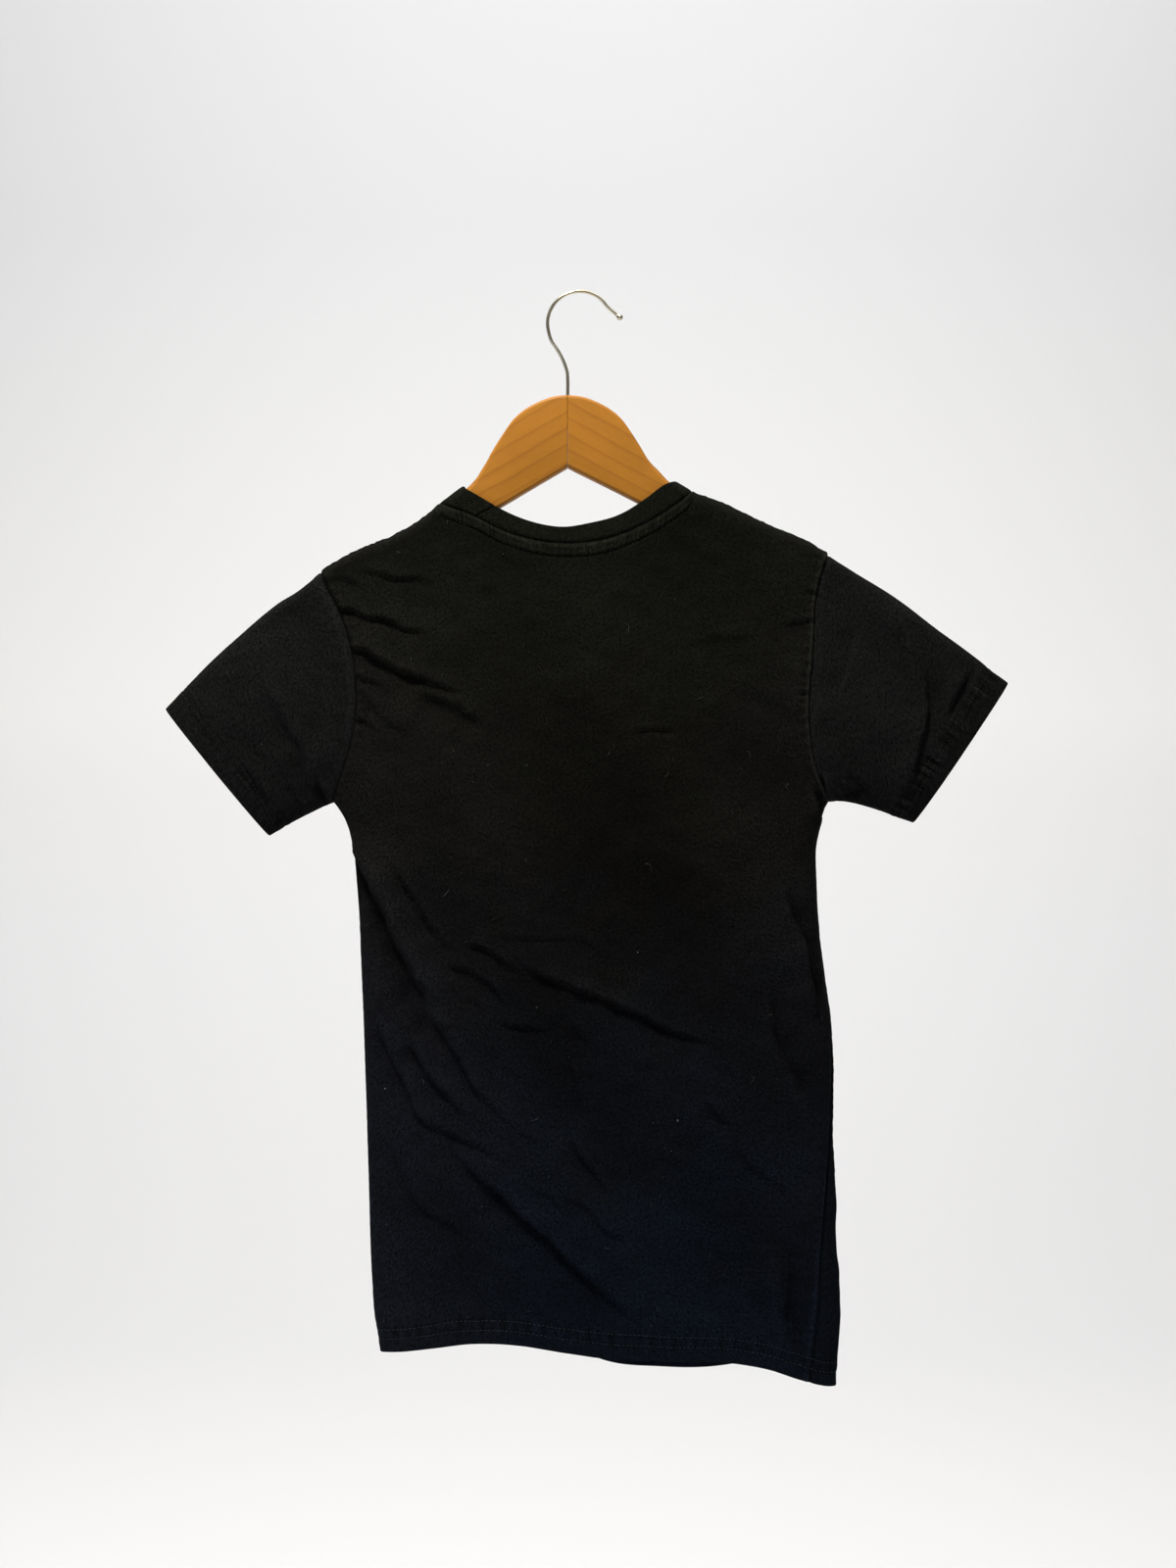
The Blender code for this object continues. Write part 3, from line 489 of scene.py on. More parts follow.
# Creases of the sleeves; each runs round both sides of the tube.
SLEEVE_CREASES = (
    (
        7.5, 2, 5, (-221, -281.4), (-212.7, -296.6), (-204.4, -311.9), (-194.7, -328.5),
        (-190.5, -347.2), (-191.9, -368),
    ),
    (3.5, 1.2, 1.6, (-239, -335.5), (-227.9, -352.1), (-215.5, -370.1)),
    (2.6, 3.2, 1, (-185.7, -349.3), (-182.2, -357.6), (-177.4, -363.2)),
    (4, 1, 2, (-205.8, -350.7), (-198.8, -363.2), (-194.7, -372.9)),
    (5.5, 2.6, 2.2, (233.6, -346.5), (239.1, -325.8), (243.3, -306.3), (244.7, -286.9), (241.9, -270.3)),
    (4.5, 2.4, 1.6, (258.5, -303.6), (266.9, -285.6), (276.6, -267.5)),
    (2.8, 3.2, 1.1, (171.9, -343.8), (174.7, -352.8), (175.4, -361.1)),
    (3, 2.2, 1.3, (176.8, -363.9), (183.7, -359), (201.7, -352.8)),
    (4.5, 1.1, 2.4, (189.2, -342.4), (198.9, -347.9), (207.9, -359), (210.7, -367.3)),
    (6, 0.9, 3.5, (197.6, -239.8), (193.4, -260.6), (185.1, -281.4), (175.4, -292.5)),
    (5, 0.8, 3, (230.1, -239.8), (233.6, -260.6), (236.4, -281.4)),
)

# The hanger's hump either side of its middle, and the arms' lower edges.
HUMP = table(
    "out drop",
    (0, 0.0),
    (11, 1.4),
    (22.5, 5.8),
    (30, 10.0),
    (39.5, 18.4),
    (45.5, 26.8),
    (51, 35.2),
    (56.3, 43.8),
    (62.3, 51.8),
    (67, 58.0),
)
ARM_UNDERSIDE = table(
    "out left_z right_z",
    (0, -124.9, -124.9),
    (6, -128.5, -128.0),
    (13.5, -132.9, -131.7),
    (42, -149.8, -146.0),
    (90, -178.0, -171.5),
    (140, -203.0, -197.0),
    (180, -222.0, -214.0),
)

# The wire between the shank and the round of the hook, and its flicked end.
HOOK_NECK = table("x z", (-11.0, -53.0), (-13.6, -46.5), (-17.6, -39.6), (-21.4, -33.8))
HOOK_FLICK = table("x z", (21.9, -12.6), (26.2, -16.2))


def smooth(x, xs, ys):
    """A smooth curve through the table's points, held at its ends."""
    order = np.argsort(xs)
    xs, ys = xs[order], ys[order]
    x = np.clip(x, xs[0], xs[-1])
    step = np.diff(xs)
    rise = np.diff(ys) / step
    inner = (rise[:-1] * step[1:] + rise[1:] * step[:-1]) / (step[1:] + step[:-1])
    slope = np.concatenate([rise[:1], inner, rise[-1:]])
    i = np.clip(np.searchsorted(xs, x, side="right") - 1, 0, len(step) - 1)
    t = (x - xs[i]) / step[i]
    start = ys[i] * (1 + 2 * t) * (1 - t) ** 2 + slope[i] * step[i] * t * (1 - t) ** 2
    end = ys[i + 1] * t**2 * (3 - 2 * t) - slope[i + 1] * step[i] * t**2 * (1 - t)
    return start + end


def lengths_along(points):
    """How far along a line of points each of them lies."""
    return np.concatenate([[0], np.cumsum(np.linalg.norm(np.diff(points, axis=0), axis=1))])


def places_along(stops, along, points):
    """Places on a line of points, by how far along it they lie."""
    return np.stack([np.interp(stops, along, column) for column in np.transpose(points)], axis=-1)


def fold_height(x):
    """Height of the fold line at this x."""
    return smooth(x, FOLD_LINE["x"], FOLD_LINE["z"])


def drop_of(arc):
    """How far below the fold line the cloth has come after this length of it."""
    turned = np.minimum(np.abs(arc) / FOLD_RADIUS, pi / 2)
    return FOLD_RADIUS * (1 - np.cos(turned)) + np.abs(arc) - FOLD_RADIUS * turned


def fullness(arc):
    """0 on the fold line and 1 once the cloth hangs down; negative past the fold, on the other side."""
    return np.sign(arc) * np.sin(np.minimum(np.abs(arc) / FOLD_RADIUS, pi / 2))


def arc_of(drop):
    """The length of cloth that comes this far below the fold line."""
    drop = np.maximum(drop, 0.0)
    turn = FOLD_RADIUS * np.arccos(np.clip(1 - drop / FOLD_RADIUS, 0, 1))
    return np.where(drop < FOLD_RADIUS, turn, drop - FOLD_RADIUS + FOLD_RADIUS * pi / 2)


def drape(x, arc, half, face):
    """Points of the drape, with the given distance off the middle plane."""
    return np.stack([x, face * half * fullness(arc), fold_height(x) - drop_of(arc)], axis=-1)


def front_neck_height(x, left, right, left_z, right_z, drop):
    """A scooped curve between the two neck points."""
    across = np.clip((x - left) / (right - left), 0, 1)
    return left_z + (right_z - left_z) * across - drop * (1 - np.abs(2 * across - 1) ** NECK_SCOOP_POWER)


def neck_height(x, face):
    """Height of the seam between a panel and the neckband."""
    if face == BACK:
        return smooth(x, BACK_NECK["x"], BACK_NECK["z"])
    start = NECK_LEFT + NECK_CORNER
    return front_neck_height(x, start, NECK_RIGHT, NECK_LEFT_Z, NECK_RIGHT_Z, FRONT_NECK_DROP)


def band_height(x, face):
    """Height of the neckband's free edge."""
    if face == BACK:
        return smooth(x, BACK_BAND["x"], BACK_BAND["z"])
    return front_neck_height(x, BAND_LEFT, BAND_RIGHT, BAND_LEFT_Z, BAND_RIGHT_Z, FRONT_BAND_DROP)


def hem_height(x, face):
    """Height of a panel's hem: the front's hangs a little lower on the right."""
    peek = 0.0
    if face == FRONT:
        peek = FRONT_PEEK * np.exp(-(((x - FRONT_PEEK_MIDDLE) / FRONT_PEEK_HALF) ** 4))
    return smooth(x, HEM["x"], HEM["z"]) - peek


def seam_arc(side, face):
    """Where a panel starts at the shoulder: the front turns over the fold on to the back."""
    return -face * SHOULDER_SEAM[side]


def crease_height(x, z, creases, strength):
    """How far the creases raise or sink the cloth: each has a ridge on the left of its line, a lip down
    from it and a trough on the right, which fills in again slowly. A crease wanders and swells a little
    on its way, and fades at both ends."""
    height = np.zeros_like(x)
    for number, (half_width, depth, lip, *path) in enumerate(creases):
        path = np.array(path)
        run = lengths_along(path)
        along = np.arange(0, run[-1], CREASE_STEP)
        part = along / run[-1]
        line_x, line_z = smooth(along, run, path[:, 0]), smooth(along, run, path[:, 1])
        run_x, run_z = np.gradient(line_x), np.gradient(line_z)
        length = np.hypot(run_x, run_z)
        run_x, run_z = run_x / length, run_z / length
        wander = np.sin(along / 6.7 + number) + 0.5 * np.sin(along / 2.3 + 2 * number)
        wander *= 0.11 * half_width * np.sin(pi * part)
        line_x, line_z = line_x - run_z * wander, line_z + run_x * wander
        swell = 0.86 + 0.14 * np.sin(along / 4.4 + 3 * number)
        taper = swell * np.clip(6 * part, 0.05, 1) ** 0.7 * np.clip(3.4 * (1 - part), 0.05, 1) ** 0.8

        reach = CREASE_REACH * half_width
        near = (x > line_x.min() - reach) & (x < line_x.max() + reach)
        near &= (z > line_z.min() - reach) & (z < line_z.max() + reach)
        away = np.hypot(x[near][:, None] - line_x, z[near][:, None] - line_z)
        k = np.argmin(away, axis=1)
        left = (z[near] - line_z[k]) * run_x[k] - (x[near] - line_x[k]) * run_z[k]
        past_end = np.sqrt(np.maximum(away[np.arange(len(k)), k] ** 2 - left**2, 0))
        width = half_width * (0.5 + 0.5 * taper[k])
        drop = np.clip(-left / lip, 0, 1)
        ridge = 0.55 * (1 - drop) * np.exp(-((np.maximum(left, 0) / (1.9 * width)) ** 1.4))
        trough = drop * np.exp(-((np.maximum(-left - lip, 0) / (1.7 * width)) ** 1.3))
        fade = taper[k] * np.exp(-((past_end / half_width) ** 2))
        height[near] += strength * depth * fade * (ridge - trough)
    return height


def unevenness(x, z, seed, amount, shortest, longest, waves=26):
    """Slow random rise and fall of hanging cloth, between two lengths of wave."""
    chance = np.random.default_rng(seed)
    height = np.zeros_like(x)
    for _ in range(waves):
        length = shortest * (longest / shortest) ** chance.random()
        heading = chance.normal(0.55, 0.75)
        phase = chance.random() * 2 * pi
        share = (length / longest) ** 0.8
        height += share * np.sin(2 * pi / length * (x * np.sin(heading) + z * np.cos(heading)) + phase)
    return amount * height / np.sqrt(waves)


def run_lengths(points, axis):
    """How far each point lies along its grid line from the line's start, and from its end."""
    step = np.linalg.norm(np.diff(points, axis=axis), axis=-1)
    start = np.zeros(points.shape[:2])
    inner = (slice(1, None), slice(None)) if axis == 0 else (slice(None), slice(1, None))
    start[inner] = np.cumsum(step, axis=axis)
    total = np.take(start, [-1], axis=axis)
    return start, total - start


def bump(distance, centre, reach):
    """A soft ridge of height 1 at this distance."""
    return np.exp(-(((distance - centre) / reach) ** 2))


def step_down(distance, place, width=0.7):
    """1 before this place and 0 after it, over a short slope."""
    return 0.5 - 0.5 * np.tanh((distance - place) / width)


def grid_normals(points, closed, outward):
    """Unit normals of a grid of points; a closed grid joins its last column to its first."""
    if closed:
        wide = np.concatenate([points[:, -1:], points, points[:, :1]], axis=1)
        across = wide[:, 2:] - wide[:, :-2]
    else:
        across = np.gradient(points, axis=1)
    normal = np.cross(across, np.gradient(points, axis=0)) * outward
    return normal / np.maximum(np.linalg.norm(normal, axis=-1, keepdims=True), 1e-9)


class Cloth:
    """A cut piece: the grid of its middle surface, its normals and its wall by row."""

    def __init__(self, points, closed, outward):
        self.points = points
        self.closed = closed
        self.outward = outward
        self.normals = grid_normals(points, closed, outward)
        self.wall = np.zeros(points.shape[:2])
        # Painted light and shade of the colour: paler on ridges, darker in grooves and creases.
        self.rubbed_and_painted_light = np.zeros(points.shape[:2])

    def raise_by(self, height):
        """Moves the cloth out along its normals."""
        self.points = self.points + self.normals * height[..., None]
        self.normals = grid_normals(self.points, self.closed, self.outward)

    def outer(self):
        return self.points + self.normals * self.wall[..., None] / 2

    def inner(self):
        return self.points - self.normals * self.wall[..., None] / 2


def rounded_edge(distance, wall):
    """The wall's thickness, drawn round where the cloth turns back at a hem."""
    radius = wall / 2
    return wall * np.sqrt(np.clip(1 - np.clip(1 - distance / radius, 0, 1) ** 2, 0.03, 1))


def thinned(count, closed):
    """The grid lines that the inside of a cloth keeps: every second one, or all those of a tube."""
    return np.arange(count) if closed else np.unique(np.append(np.arange(0, count, 2), count - 1))


def grid_faces(first, rows, columns, closed):
    """Four-sided faces of a grid of vertices; a closed grid joins its last column to its first."""
    i, j = np.meshgrid(np.arange(rows - 1), np.arange(columns if closed else columns - 1), indexing="ij")
    i, j = i.ravel() * columns, j.ravel()
    after = (j + 1) % columns
    return first + np.stack([i + j, i + after, i + columns + after, i + columns + j], 1)


def turned_over(faces):
    """The same faces, seen from their other side."""
    return [face[::-1] for face in faces]


def rim_faces(outer, inner, keep, closed):
    """Faces that join the outside of an edge to its inside, which has only the kept vertices."""
    faces = []
    stops = [*keep, len(outer)] if closed else keep
    for n, (low, high) in enumerate(zip(stops[:-1], stops[1:])):
        outside = [outer[k % len(outer)] for k in range(high, low - 1, -1)]
        faces.append((inner[n], inner[(n + 1) % len(inner)], *outside))
    return faces


def wall_mesh(cloth, row_keep, column_keep):
    """Corners and faces of a cloth as a closed wall: its outside, its coarser inside and its rims."""
    outer = cloth.outer()
    inner = cloth.inner()[np.ix_(row_keep, column_keep)]
    rows, columns = outer.shape[:2]
    count = rows * columns
    verts = np.concatenate([outer.reshape(-1, 3), inner.reshape(-1, 3)])
    outside = np.arange(count).reshape(rows, columns)
    inside = count + np.arange(inner.shape[0] * inner.shape[1]).reshape(inner.shape[:2])
    skin = grid_faces(0, rows, columns, cloth.closed)
    lining = grid_faces(count, len(row_keep), len(column_keep), cloth.closed)[:, ::-1]
    faces = [*map(tuple, skin.tolist()), *map(tuple, lining.tolist())]
    faces += turned_over(rim_faces(outside[0], inside[0], column_keep, cloth.closed))
    faces += rim_faces(outside[-1], inside[-1], column_keep, cloth.closed)
    if not cloth.closed:
        faces += rim_faces(outside[:, 0], inside[:, 0], row_keep, False)
        faces += turned_over(rim_faces(outside[:, -1], inside[:, -1], row_keep, False))
    return verts, faces if cloth.outward > 0 else turned_over(faces)


def lay_out_cut(made, cloth, row_keep, column_keep):
    """The cloth's cut laid out in millimetres as UV, inside and outside alike."""
    rows, columns = cloth.points.shape[:2]
    across = run_lengths(np.concatenate([cloth.points, cloth.points[:, :1]], axis=1), 1)[0][:, :columns]
    down = run_lengths(cloth.points, 0)[0]
    middle = 0.0 if cloth.closed else across.mean(axis=1, keepdims=True)
    flat = np.stack([across - middle + CUT_OFFSET, down], axis=-1)
    flat = np.concatenate([flat.reshape(-1, 2), flat[np.ix_(row_keep, column_keep)].reshape(-1, 2)])
    corners = np.zeros(len(made.data.loops), int)
    made.data.loops.foreach_get("vertex_index", corners)
    laid_out = flat[corners]
    if cloth.closed:
        round_length = np.linalg.norm(cloth.points[:, 0] - cloth.points[:, -1], axis=-1) + across[:, -1]
        mend_closing_column(laid_out, corners % (rows * columns), columns, round_length)
    made.data.uv_layers.new(name="Cut").data.foreach_set("uv", laid_out.ravel().astype(np.float32))


def cloth_object(name, cloth, finish, node):
    """The cloth as a thin closed wall, with its cut as UV and its painted light and shade as an attribute.
    """
    row_keep, column_keep = (thinned(count, cloth.closed) for count in cloth.points.shape[:2])
    verts, faces = wall_mesh(cloth, row_keep, column_keep)
    made = mesh_object(name, verts * MM, faces, finish)
    lay_out_cut(made, cloth, row_keep, column_keep)
    # Painted light and shade of the colour, kept as an attribute for the material.
    rubbed_and_painted_light = np.zeros(len(verts), np.float32)
    rubbed_and_painted_light[: cloth.rubbed_and_painted_light.size] = cloth.rubbed_and_painted_light.ravel()
    made.data.attributes.new("Rubbed", "FLOAT", "POINT").data.foreach_set("value", rubbed_and_painted_light)
    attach(made, "root")
    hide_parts(node)
    return made


def mend_closing_column(laid_out, corners, columns, round_length):
    """On a tube, carries the cut on past its last column instead of jumping back to its first."""
    column = corners % columns
    faces = column.reshape(-1, 4)
    closing = (faces.max(axis=1) == columns - 1) & (faces.min(axis=1) == 0)
    first = (faces == 0) & closing[:, None]
    laid_out.reshape(-1, 4, 2)[..., 0][first] += round_length[(corners // columns).reshape(-1, 4)[first]]


def mesh_object(name, verts, faces, finish):
    """A smooth-shaded mesh of these corners, in metres, and these faces, in one finish."""
    mesh = bpy.data.meshes.new(name)
    mesh.from_pydata(np.asarray(verts).tolist(), [], faces)
    mesh.validate()
    mesh.shade_smooth()
    mesh.materials.append(finish)
    made = bpy.data.objects.new(name, mesh)
    bpy.context.scene.collection.objects.link(made)
    return made


# Rows of a hem and a cuff, by their distance from its edge: close at the stitches and round the edge.
HEM_ROWS = np.array([
    24, 22, 20.4, 19.2, 18.2, 17.6, 17, 16.4, 15.2, 13.5, 12, 10.7, 10, 9.3, 8, 6, 4, 2.6, 1.5, 0.8, 0.35,
    0.1, 0,
])
CUFF_ROWS = np.array([
    24, 22, 20.6, 19.6, 19, 18.4, 17.8, 16.4, 15, 14.2, 13.6, 13, 11.5, 9, 6.5, 4.2, 2.6, 1.4, 0.7, 0.25, 0,
])


def row_depths():
    """Rows of the body by depth below the shoulder seam: close over the fold, the taped neck and the hem."""
    shoulder = np.linspace(0, 14, 15)
    yoke = np.linspace(15.5, ARMPIT_DEPTH, 79)
    body = np.linspace(ARMPIT_DEPTH, HEM_DEPTH - HEM_ROWS[0] - 2, 172)[1:]
    return np.concatenate([shoulder, yoke, body, HEM_DEPTH - HEM_ROWS])


DEPTHS = row_depths()
ARMPIT_ROW = int(np.argmin(abs(DEPTHS - ARMPIT_DEPTH)))


def edge_x(side, z):
    """The body's edge at this height: the armhole seam, then the side."""
    name = SIDE_NAME[side]
    armhole = smooth(z, ARMHOLES[name + "_z"], ARMHOLES[name + "_x"])
    below = smooth(z, SIDES["z"], SIDES[name])
    return np.where(z > SIDES["z"][0], armhole, below) - side * EDGE_INSET


def edge(side, face):
    """Each row's end on this side: its x, its length below the fold line and its distance off the middle."""
    start = seam_arc(side, face)
    armpit_z = SIDES["z"][0] - 0.01
    armpit = arc_of(fold_height(edge_x(side, armpit_z)) - armpit_z)
    turn = SIDE_SEAM_TURN["turn"][-1] if side == RIGHT else 0.0
    hem_x = edge_x(side, SIDES["z"][-2]) - side * turn
    hem = arc_of(fold_height(hem_x) - smooth(hem_x, HEM["x"], HEM["z"]))
    upper = start + (armpit - start) * DEPTHS / ARMPIT_DEPTH
    lower = armpit + (hem - armpit) * (DEPTHS - ARMPIT_DEPTH) / (HEM_DEPTH - ARMPIT_DEPTH)
    arc = np.where(DEPTHS <= ARMPIT_DEPTH, upper, lower)
    x = np.full(len(arc), edge_x(side, -260.0))
    for _ in range(12):
        x = edge_x(side, fold_height(x) - drop_of(arc))
    part = np.clip(DEPTHS / ARMPIT_DEPTH, 0, 1)
    if face == FRONT:
        x = x - side * FRONT_SCOOP * np.sin(pi * part) ** 2
    half = smooth(part, ARMHOLE_DEPTH["part"], ARMHOLE_DEPTH["half"]) * np.sqrt(1 - part**6)
    return x, arc, half


def neck_seam(face, spacing):
    """The neckline as places on the drape, from the left shoulder seam to the right one: close round the
    two ends and evenly spaced between them."""
    start = NECK_LEFT + (NECK_CORNER if face == FRONT else 0.0)
    x = start + (NECK_RIGHT - start) * (1 - np.cos(np.linspace(0, pi, 900))) / 2
    arc = arc_of(fold_height(x) - neck_height(x, face))
    first, last = seam_arc(LEFT, face), seam_arc(RIGHT, face)
    keep = (arc > max(first, 0.0)) | ((x > 0) & (arc > max(last, 0.0)))
    x = np.concatenate([[NECK_LEFT], x[keep], [NECK_RIGHT]])
    arc = np.concatenate([[first], arc[keep], [last]])
    along = lengths_along(np.stack([x, arc], axis=-1))
    turn = np.array([0, 1.4, 2.8, 4.4, 6.4, 8.6, 11, 13.4])
    even = 16.0
    count = int((along[-1] - 2 * even) / spacing)
    stops = np.concatenate([turn, np.linspace(even, along[-1] - even, count), along[-1] - turn[::-1]])
    return np.interp(stops, along, x), np.interp(stops, along, arc)


NECK = {BACK: neck_seam(BACK, 1.45), FRONT: neck_seam(FRONT, 2.4)}


def half_depth(face):
    """How far each row's middle stands off the middle plane, on this face."""
    return smooth(DEPTHS, HALF_DEPTH["depth"], HALF_DEPTH["back" if face == BACK else "front"])[:, None]


def shoulder_columns(span):
    """Columns from a panel's side to its neck, as parts of that span: close together round the side."""
    near_edge = [0, 0.12, 0.5, 1.1, 2.0, 3.2, 4.8, 6.8, 9.2]
    return np.concatenate([near_edge, np.arange(11.6, span - 1.2, 2.05)]) / span


def panel_middle(face):
    """The front or back as rows of points, from the shoulders and neckline down to the hem."""
    neck_x, neck_arc = NECK[face]
    left_x, left_arc, left_half = edge(LEFT, face)
    right_x, right_arc, right_half = edge(RIGHT, face)
    width = right_x[0] - left_x[0]
    left_part = (NECK_LEFT - left_x[0]) / width
    right_part = (NECK_RIGHT - left_x[0]) / width
    left_outer = left_part * shoulder_columns(left_part * width)
    right_outer = (1 - right_part) * shoulder_columns((1 - right_part) * width)
    neck_part = np.linspace(left_part, right_part, len(neck_x))
    part = np.concatenate([left_outer, neck_part, 1 - right_outer[::-1]])
    neck = slice(len(left_outer), len(left_outer) + len(neck_x))
    top_x = left_x[0] + width * part
    top_x[neck] = neck_x
    top_arc = np.where(part < 0.5, seam_arc(LEFT, face), seam_arc(RIGHT, face)).astype(float)
    top_arc[neck] = neck_arc

    height = fold_height(right_x) - drop_of(right_arc)
    turn = smooth(height, SIDE_SEAM_TURN["z"], SIDE_SEAM_TURN["turn"])
    turn_angle = np.arccos(1 - 2 * turn / (right_x - left_x))
    angle = np.arccos(1 - 2 * part)[None, :] * (1 + face * turn_angle / pi)[:, None]
    across = (1 - np.cos(angle)) / 2
    x = left_x[:, None] + (right_x - left_x)[:, None] * across
    spread = np.exp(-((DEPTHS / 70.0) ** 1.4))[:, None]
    x = x + spread * (top_x - x[0])[None, :]

    down = (DEPTHS / HEM_DEPTH)[:, None]
    bottom_arc = arc_of(fold_height(x[-1]) - hem_height(x[-1], face))
    arc = (1 - down) * top_arc + down * bottom_arc
    arc = arc + (1 - part) * (left_arc[:, None] - arc[:, :1]) + part * (right_arc[:, None] - arc[:, -1:])

    middle = np.where(np.sin(angle) < 0, half_depth(-face), half_depth(face))
    seam_half = (1 - part) * left_half[:, None] + part * right_half[:, None]
    swell = np.sqrt(seam_half**2 + (middle**2 - seam_half**2) * np.sin(angle) ** 2)
    half = np.where((DEPTHS >= ARMPIT_DEPTH)[:, None], middle * np.sin(angle), swell)
    return drape(x, arc, half, face), neck


# Sewn relief of the panels: the edge it follows, its height at the armhole and below it, how far from the
# edge it is highest and how wide it is. A groove has a height below 0.
PANEL_RELIEF = (
    ("left", -1.6, -0.8, 0.0, 1.3),
    ("left", 0.2, 0.3, 3.4, 2.0),
    ("right", -0.9, -1.5, 0.0, 1.0),
    ("top", -1.2, -1.2, 0.4, 1.2),
    ("top", 0.5, 0.5, 3.2, 1.3),
)
RIGHT_SEAM_RIDGE = {BACK: 0.9, FRONT: 0.2}
STITCH_GROOVE, STITCH_GROOVE_REACH = 0.34, 0.9
IS_ARMHOLE = (DEPTHS <= ARMPIT_DEPTH)[:, None]


def eased(distance, reach, least=0.0):
    """Rises from its least at an edge to 1 at this distance from it."""
    return np.clip(distance / reach, least, 1)


def panel_distances(points):
    """How far each place on a panel lies from each edge, over the cloth."""
    left, right = run_lengths(points, 1)
    top, hem = run_lengths(points, 0)
    return {"left": left, "right": right, "top": top, "hem": hem, "side": np.minimum(left, right)}


def panel_folds(face, points, away, strength):
    """The creases and the slow unevenness of a panel, held flat at its seams."""
    x, z = points[..., 0], points[..., 2]
    held = eased(away["side"], 2.5) * eased(away["top"] - 9, 12) * eased(away["hem"], 30, 0.35)
    calm = eased(away["side"], 9) * eased(away["top"], 24) * eased(away["hem"], 30, 0.35)
    height = held * crease_height(x, z, BACK_CREASES if face == BACK else FRONT_CREASES, strength)
    height += calm * unevenness(x, z, 7 + face, 1.5 * strength, 46, 170)
    height += calm * unevenness(x, z, 17 + face, 0.42 * strength, 12, 40)
    return height


def side_ticks(z, from_side):
    """The small even pulls of the sewing beside a panel's side seams."""
    waves = np.sin(0.86 * z + 1.7 * np.sin(0.11 * z))
    return waves * bump(from_side, 4, 4.5) * eased(from_side, 3)


def panel_sewing(face, points, away, neck):
    """Grooves, ridges and puckers along the seams, the neck tape on the back, and the hem's stitch lines."""
    x, z = points[..., 0], points[..., 2]
    from_top, from_hem = away["top"], away["hem"]
    fine = np.where(IS_ARMHOLE, 0.38, 0.14) * side_ticks(z, away["side"])
    for name, at_armhole, below, place, reach in PANEL_RELIEF:
        fine += np.where(IS_ARMHOLE, at_armhole, below) * bump(away[name], place, reach)
    fine += RIGHT_SEAM_RIDGE[face] * bump(away["right"], 2.0, 1.1)
    gathers = np.random.default_rng(23 + face).normal(0, 1, points.shape[1])
    fine += 0.22 * eased(away["side"], 6) * gathers * bump(from_top, 4, 3.5)
    if face == BACK:
        taped = np.zeros(points.shape[1])
        taped[neck] = np.clip(8 * np.sin(pi * np.linspace(0.02, 0.98, neck.stop - neck.start)), 0, 1)
        tape = 0.75 * step_down(from_top, TAPE_WIDTH, 0.5) - 0.8 * bump(from_top, NECK_STITCH, 0.8)
        fine += taped * (tape + 0.45 * gathers * bump(from_top, NECK_STITCH - 3, 4.5))
    puckers = np.sin(0.74 * x + 1.3 * np.sin(0.093 * x)) + 0.6 * np.sin(0.41 * x + 2)
    fine += 0.3 * puckers * bump(from_hem, 13.5, 6.5)
    for line in HEM_STITCHES:
        fine -= STITCH_GROOVE * bump(from_hem, line, STITCH_GROOVE_REACH)
    return fine


def panel_seam_painted_light(face, points, away):
    """Painted light along the right seam: a painted highlight on the back's seam ridge, and painted shade on
    the front within 24 mm of it.
    """
    if face == FRONT:
        return -0.3 * step_down(away["right"], 24, 6)
    ticks = side_ticks(points[..., 2], away["side"])
    return np.where(IS_ARMHOLE, 1.5, 0.4 + 0.5 * ticks) * bump(away["right"], 1.8, 0.9)


# Width of the turned hem and cuff, how far they stand proud, and how pale their painted light may make the
# cloth.
PANEL_HEM = (HEM_WIDTH, 0.16, 2.0)
SLEEVE_CUFF = (CUFF_WIDTH, 0.14, 1.0)


def finish_cloth(cloth, height, fine, wear_and_painted_light, from_hem, hem_width, proud, palest, walls):
    """Gives a cloth its relief, its painted light and shade, which follow the relief, the seams and the hem,
    and its wall, which is doubled over the turned hem.
    """
    jersey, hem = walls
    turned = step_down(from_hem, hem_width, 0.5)
    # Painted light and shade: paler where the relief rises, darker where it sinks, with the painted light of
    # the seams and cuffs.
    cloth.rubbed_and_painted_light = np.clip(fine + wear_and_painted_light + 0.14 * (height - height.mean()), -0.7, palest)
    cloth.raise_by(height + fine - turned * ((hem - jersey) / 2 - proud))
    cloth.wall = np.minimum(jersey + (hem - jersey) * turned, rounded_edge(from_hem, hem))
    return cloth


def panel(face, strength, walls):
    """A panel with its creases, seams, taped neck and turned hem."""
    points, neck = panel_middle(face)
    away = panel_distances(points)
    height = panel_folds(face, points, away, strength)
    fine = panel_sewing(face, points, away, neck)
    wear_and_painted_light = panel_seam_painted_light(face, points, away)
    cloth = Cloth(points, False, face)
    return finish_cloth(cloth, height, fine, wear_and_painted_light, away["hem"], *PANEL_HEM, walls), neck


def closed_line(points):
    """A loop of points with its first one again at its end."""
    return np.concatenate([points, points[:1]])


def joined_loop(back, front):
    """A closed loop from the back's points, left to right, and the front's, right to left."""
    return np.concatenate([back, front[-2:0:-1]])


def silhouette(line, name, side, length):
    """The cloth's middle along one edge of a sleeve, half a wall inside its outline."""
    x = smooth(length, line["part"], line[name + "_x"]) - side * EDGE_INSET
    return np.stack([x, smooth(length, line["part"], line[name + "_z"])], axis=-1)[:, None, :]


def sleeve_lengths():
    """Rings of a sleeve, from the armhole (0) to the cuff (1), close at the seam and over the hem."""
    seam = [0, 0.5, 1.1, 1.9, 2.9, 4.2, 5.6, 6.8, 8, 9.6]
    middle = np.linspace(11.5, SLEEVE_REACH - CUFF_ROWS[0] - 2, 58)
    return np.concatenate([seam, middle, SLEEVE_REACH - CUFF_ROWS]) / SLEEVE_REACH


